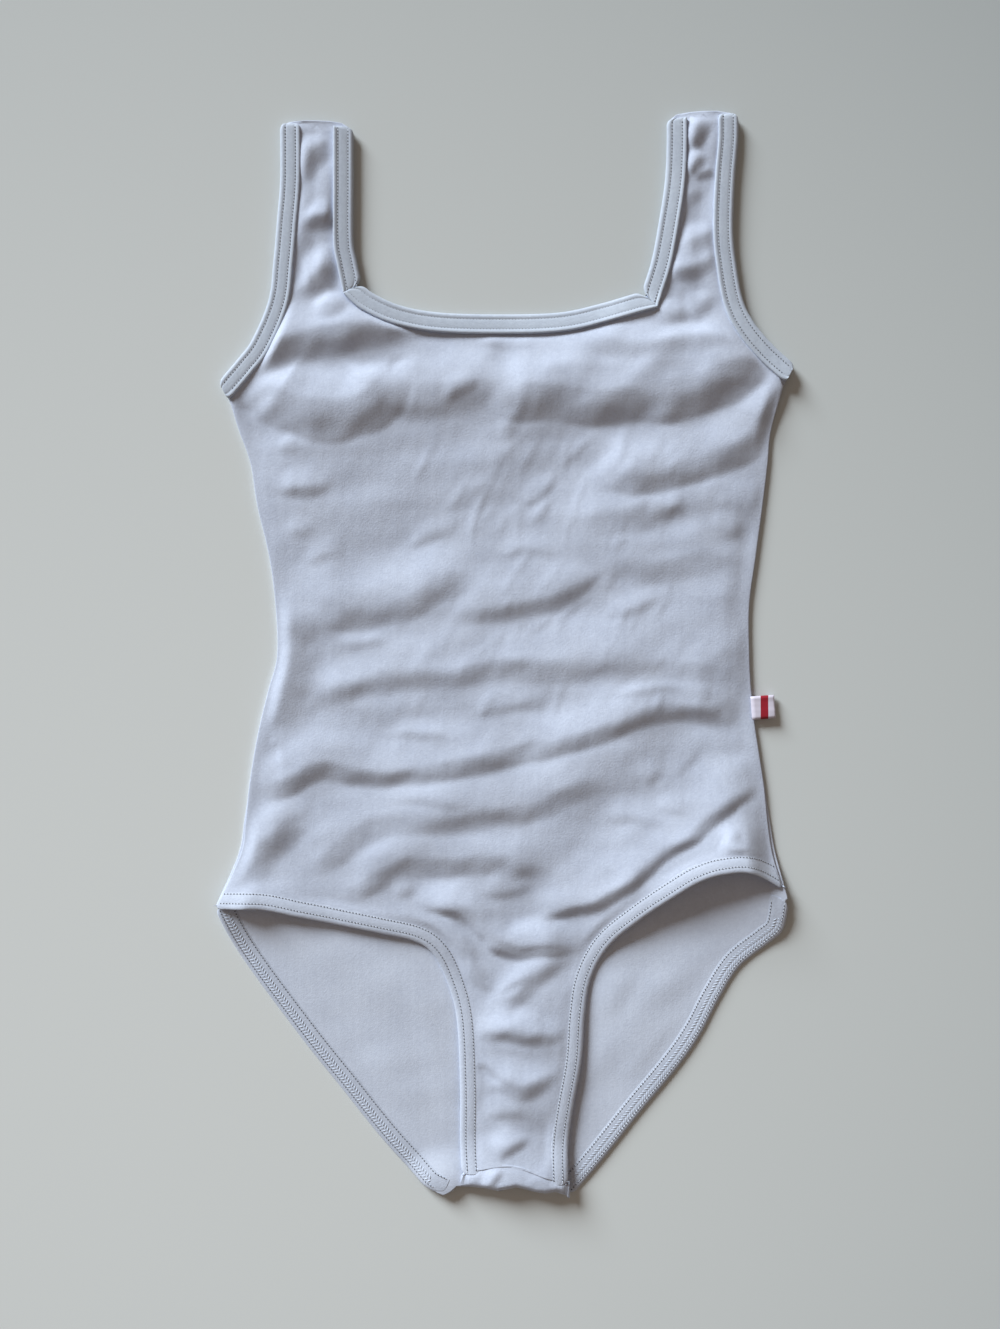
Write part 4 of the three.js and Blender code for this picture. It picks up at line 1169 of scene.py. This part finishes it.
def sewn_rows(name, rows, material, length, radius, start, rings):
    """Rows of spindles as one mesh, kept off the side seams and the crotch's tip."""
    found = []
    for r in rows:
        run = row_run(EDGE[r.edge], r.inward, r.base, r.over, r.sides)
        places, headings = run_of(run, STITCH_PITCH, start)
        kept = inside(r.within, places[:, :2]) & (distance_to(r.sides.edges, places[:, :2]) > SIDE_MARGIN)
        kept &= distance_to(["crotch_tip"], places[:, :2]) > TIP_MARGIN
        found.append((places[kept], headings[kept]))
    places, headings = np.vstack([f[0] for f in found]), np.vstack([f[1] for f in found])
    print(name, len(places), "stitches")
    return sewn(name, places, headings, length, radius, material, rings)


SEWN = (("binding", BINDING_ROWS, "binding"), ("hem", HEM_ROWS, "knit"), ("inside_hem", INSIDE_ROWS, "knit"))
DASHES = ("stitches", THREAD, STITCH_LENGTH, THREAD_RADIUS, STITCH_PITCH, 5)
HOLE_SHADOWS = ("needle_holes", HOLE_SHADE, HOLE_LENGTH, HOLE_RADIUS, STITCH_PITCH * 1.5, 3)
STITCHES = [
    (sewn_rows(f"{name}_{kind}", rows, *look), slot)
    for kind, *look in (DASHES, HOLE_SHADOWS) for name, rows, slot in SEWN
]

# %% [markdown]
# The looper thread crosses between the needle rows in slanted loops. Each loop shows as two strands
# that lean opposite ways, so the row looks like a run of arrowheads.

# %% Looper thread
LOOP_PITCH, LOOP_LENGTH, LOOP_RADIUS = 2.0, 2.7, 0.36
LOOP_ROWS = ((4.1, 0.75), (6.5, -0.75))
LOOP_OVER = 1.74
loop_places, loop_headings = [], []
for edge in ("leg_back_left", "leg_back_right"):
    for inward, lean in LOOP_ROWS:
        run = row_run(EDGE[edge][2:-5], inward, back_level, LOOP_OVER, BACK_SIDES)
        places, headings = run_of(run, LOOP_PITCH, LOOP_PITCH)
        across = np.cross(np.array([0, 0, 1.0]), headings)
        leaning = headings * lean + across
        loop_places.append(places)
        loop_headings.append(leaning / np.linalg.norm(leaning, axis=1)[:, None])
looper_loops = sewn("looper_loops", np.vstack(loop_places), np.vstack(loop_headings), LOOP_LENGTH,
                    LOOP_RADIUS, LOOPER_THREAD)
print("looper strands", sum(len(p) for p in loop_places))

# %% [markdown]
# ## The tag
# A ribbon folded into a loop and caught in the right side seam. It is plain, with one woven red
# stripe along its fold. The loop is open above and below, and it tilts a little.

# %% Tag
TAG_LOW, TAG_HIGH = (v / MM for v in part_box("side_tag"))
TAG_RIBBON, TAG_IN_SEAM = 0.45, 2.0
TAG_BOW, TAG_WAVE = 0.3, 0.8
TAG_TILT = math.radians(4)
tag_thick = TAG_HIGH.z - TAG_LOW.z
tag_x0, tag_x1 = TAG_LOW.x - TAG_IN_SEAM, TAG_HIGH.x


def tag_profile(inset):
    """The loop's profile in X and Z, at a depth below its outer face."""
    r = tag_thick / 2 - inset
    cx, cz = tag_x1 - tag_thick / 2, (TAG_LOW.z + TAG_HIGH.z) / 2
    turn = np.linspace(-math.pi / 2, math.pi / 2, 9)
    arc = [(cx + r * math.cos(t), cz + r * math.sin(t)) for t in turn]
    under = [(x, cz - r) for x in np.linspace(tag_x0, cx, 6)[:-1]]
    over = [(x, cz + r) for x in np.linspace(cx, tag_x0, 6)[1:]]
    return under + arc + over


tag_ring = tag_profile(0) + tag_profile(TAG_RIBBON)[::-1]
tag_rows = np.linspace(TAG_LOW.y, TAG_HIGH.y, 9)
tag_middle = (TAG_LOW.y + TAG_HIGH.y) / 2
tag_points = []
for j, y in enumerate(tag_rows):
    bow = TAG_BOW * math.sin(j * TAG_WAVE)
    for x, z in tag_ring:
        reach, rise = x - tag_x0, y - tag_middle
        tag_points.append((tag_x0 + reach * math.cos(TAG_TILT) - rise * math.sin(TAG_TILT),
                           tag_middle + reach * math.sin(TAG_TILT) + rise * math.cos(TAG_TILT),
                           z + bow * reach / (tag_x1 - tag_x0)))
size, last = len(tag_ring), len(tag_rows) - 1
tag_faces = ring_faces(len(tag_rows), size)
for k in range(size // 2 - 1):
    quad = (k, k + 1, size - 2 - k, size - 1 - k)
    tag_faces.append(quad[::-1])
    tag_faces.append(tuple(last * size + v for v in quad))

RIBBON, tree, output = new_material("woven_polyester_ribbon")
ribbon_place = node(tree, "NewGeometry").outputs["Position"]
axes = node(tree, "SeparateXYZ", Vector=ribbon_place)
STRIPE_CENTRE, STRIPE_HALF = (tag_x1 - 6.6) * MM, 2.3 * MM
RIBBON_WHITE, STRIPE_RED = "#dcd6e6", "#a0162c"
WEAVE_SCALE, WEAVE_RELIEF = 90.0, 0.1
offset = node(tree, "Math", {"operation": "SUBTRACT"}, i0=axes.outputs["X"], i1=STRIPE_CENTRE)
apart = node(tree, "Math", {"operation": "ABSOLUTE"}, i0=offset.outputs[0])
in_stripe = node(tree, "Math", {"operation": "LESS_THAN"}, i0=apart.outputs[0], i1=STRIPE_HALF)
weave = node(tree, "TexWave", {"bands_direction": "Y"}, Vector=ribbon_place, Scale=WEAVE_SCALE)
ribbon_tone = node(tree, "Mix", {"data_type": "RGBA"}, Factor=in_stripe.outputs[0],
                   i6=linear(RIBBON_WHITE), i7=linear(STRIPE_RED))
weave_bump = node(tree, "Bump", Height=weave.outputs["Fac"], Strength=0.3, Distance=WEAVE_RELIEF * MM)
ribbon_shader = node(tree, "BsdfPrincipled", Base_Color=ribbon_tone.outputs[2], Roughness=0.5,
                     Normal=weave_bump.outputs["Normal"])
ribbon_shader.inputs["Sheen Weight"].default_value = 0.1
tree.links.new(ribbon_shader.outputs["BSDF"], output.inputs["Surface"])
side_ribbon = link_mesh("side_ribbon", tag_points, tag_faces, RIBBON)
print("tag", round(tag_x1 - TAG_LOW.x, 1), "by", round(TAG_HIGH.y - TAG_LOW.y, 1), "mm")

# %% [markdown]
# ## One body
# Cloth has no joints, so every piece rides on the one body. The frame's solids that each piece
# stands for are hidden. The turned-up end climbs its fold, so its cut is longer than it looks from
# above.

# %% Ride and replace
REPLACED = [
    (back_cloth, "knit", ["back_panel"]),
    (front_cloth, "knit", ["front_panel"]),
    (gusset_cloth, "knit", ["gusset_turn"]),
    (neck_binding, "binding", ["neck_binding_front"]),
    (neck_binding_behind, "binding", ["neck_binding_back"]),
    (armhole_left, "binding", ["armhole_binding_left_front"]),
    (armhole_left_behind, "binding", ["armhole_binding_left_back"]),
    (armhole_right, "binding", ["armhole_binding_right_front"]),
    (armhole_right_behind, "binding", ["armhole_binding_right_back"]),
    (hem_left, "knit", ["leg_hem_left_front"]),
    (hem_left_inside, "knit", ["leg_hem_left_back"]),
    (hem_right, "knit", ["leg_hem_right_front"]),
    (hem_right_inside, "knit", ["leg_hem_right_back"]),
    (side_ribbon, "ribbon", ["side_tag"]),
    (looper_loops, "knit", []),
] + [(piece, slot, []) for piece, slot in STITCHES]
for piece, slot, nodes in REPLACED:
    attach(piece, "root")
    if nodes:
        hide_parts(*nodes)
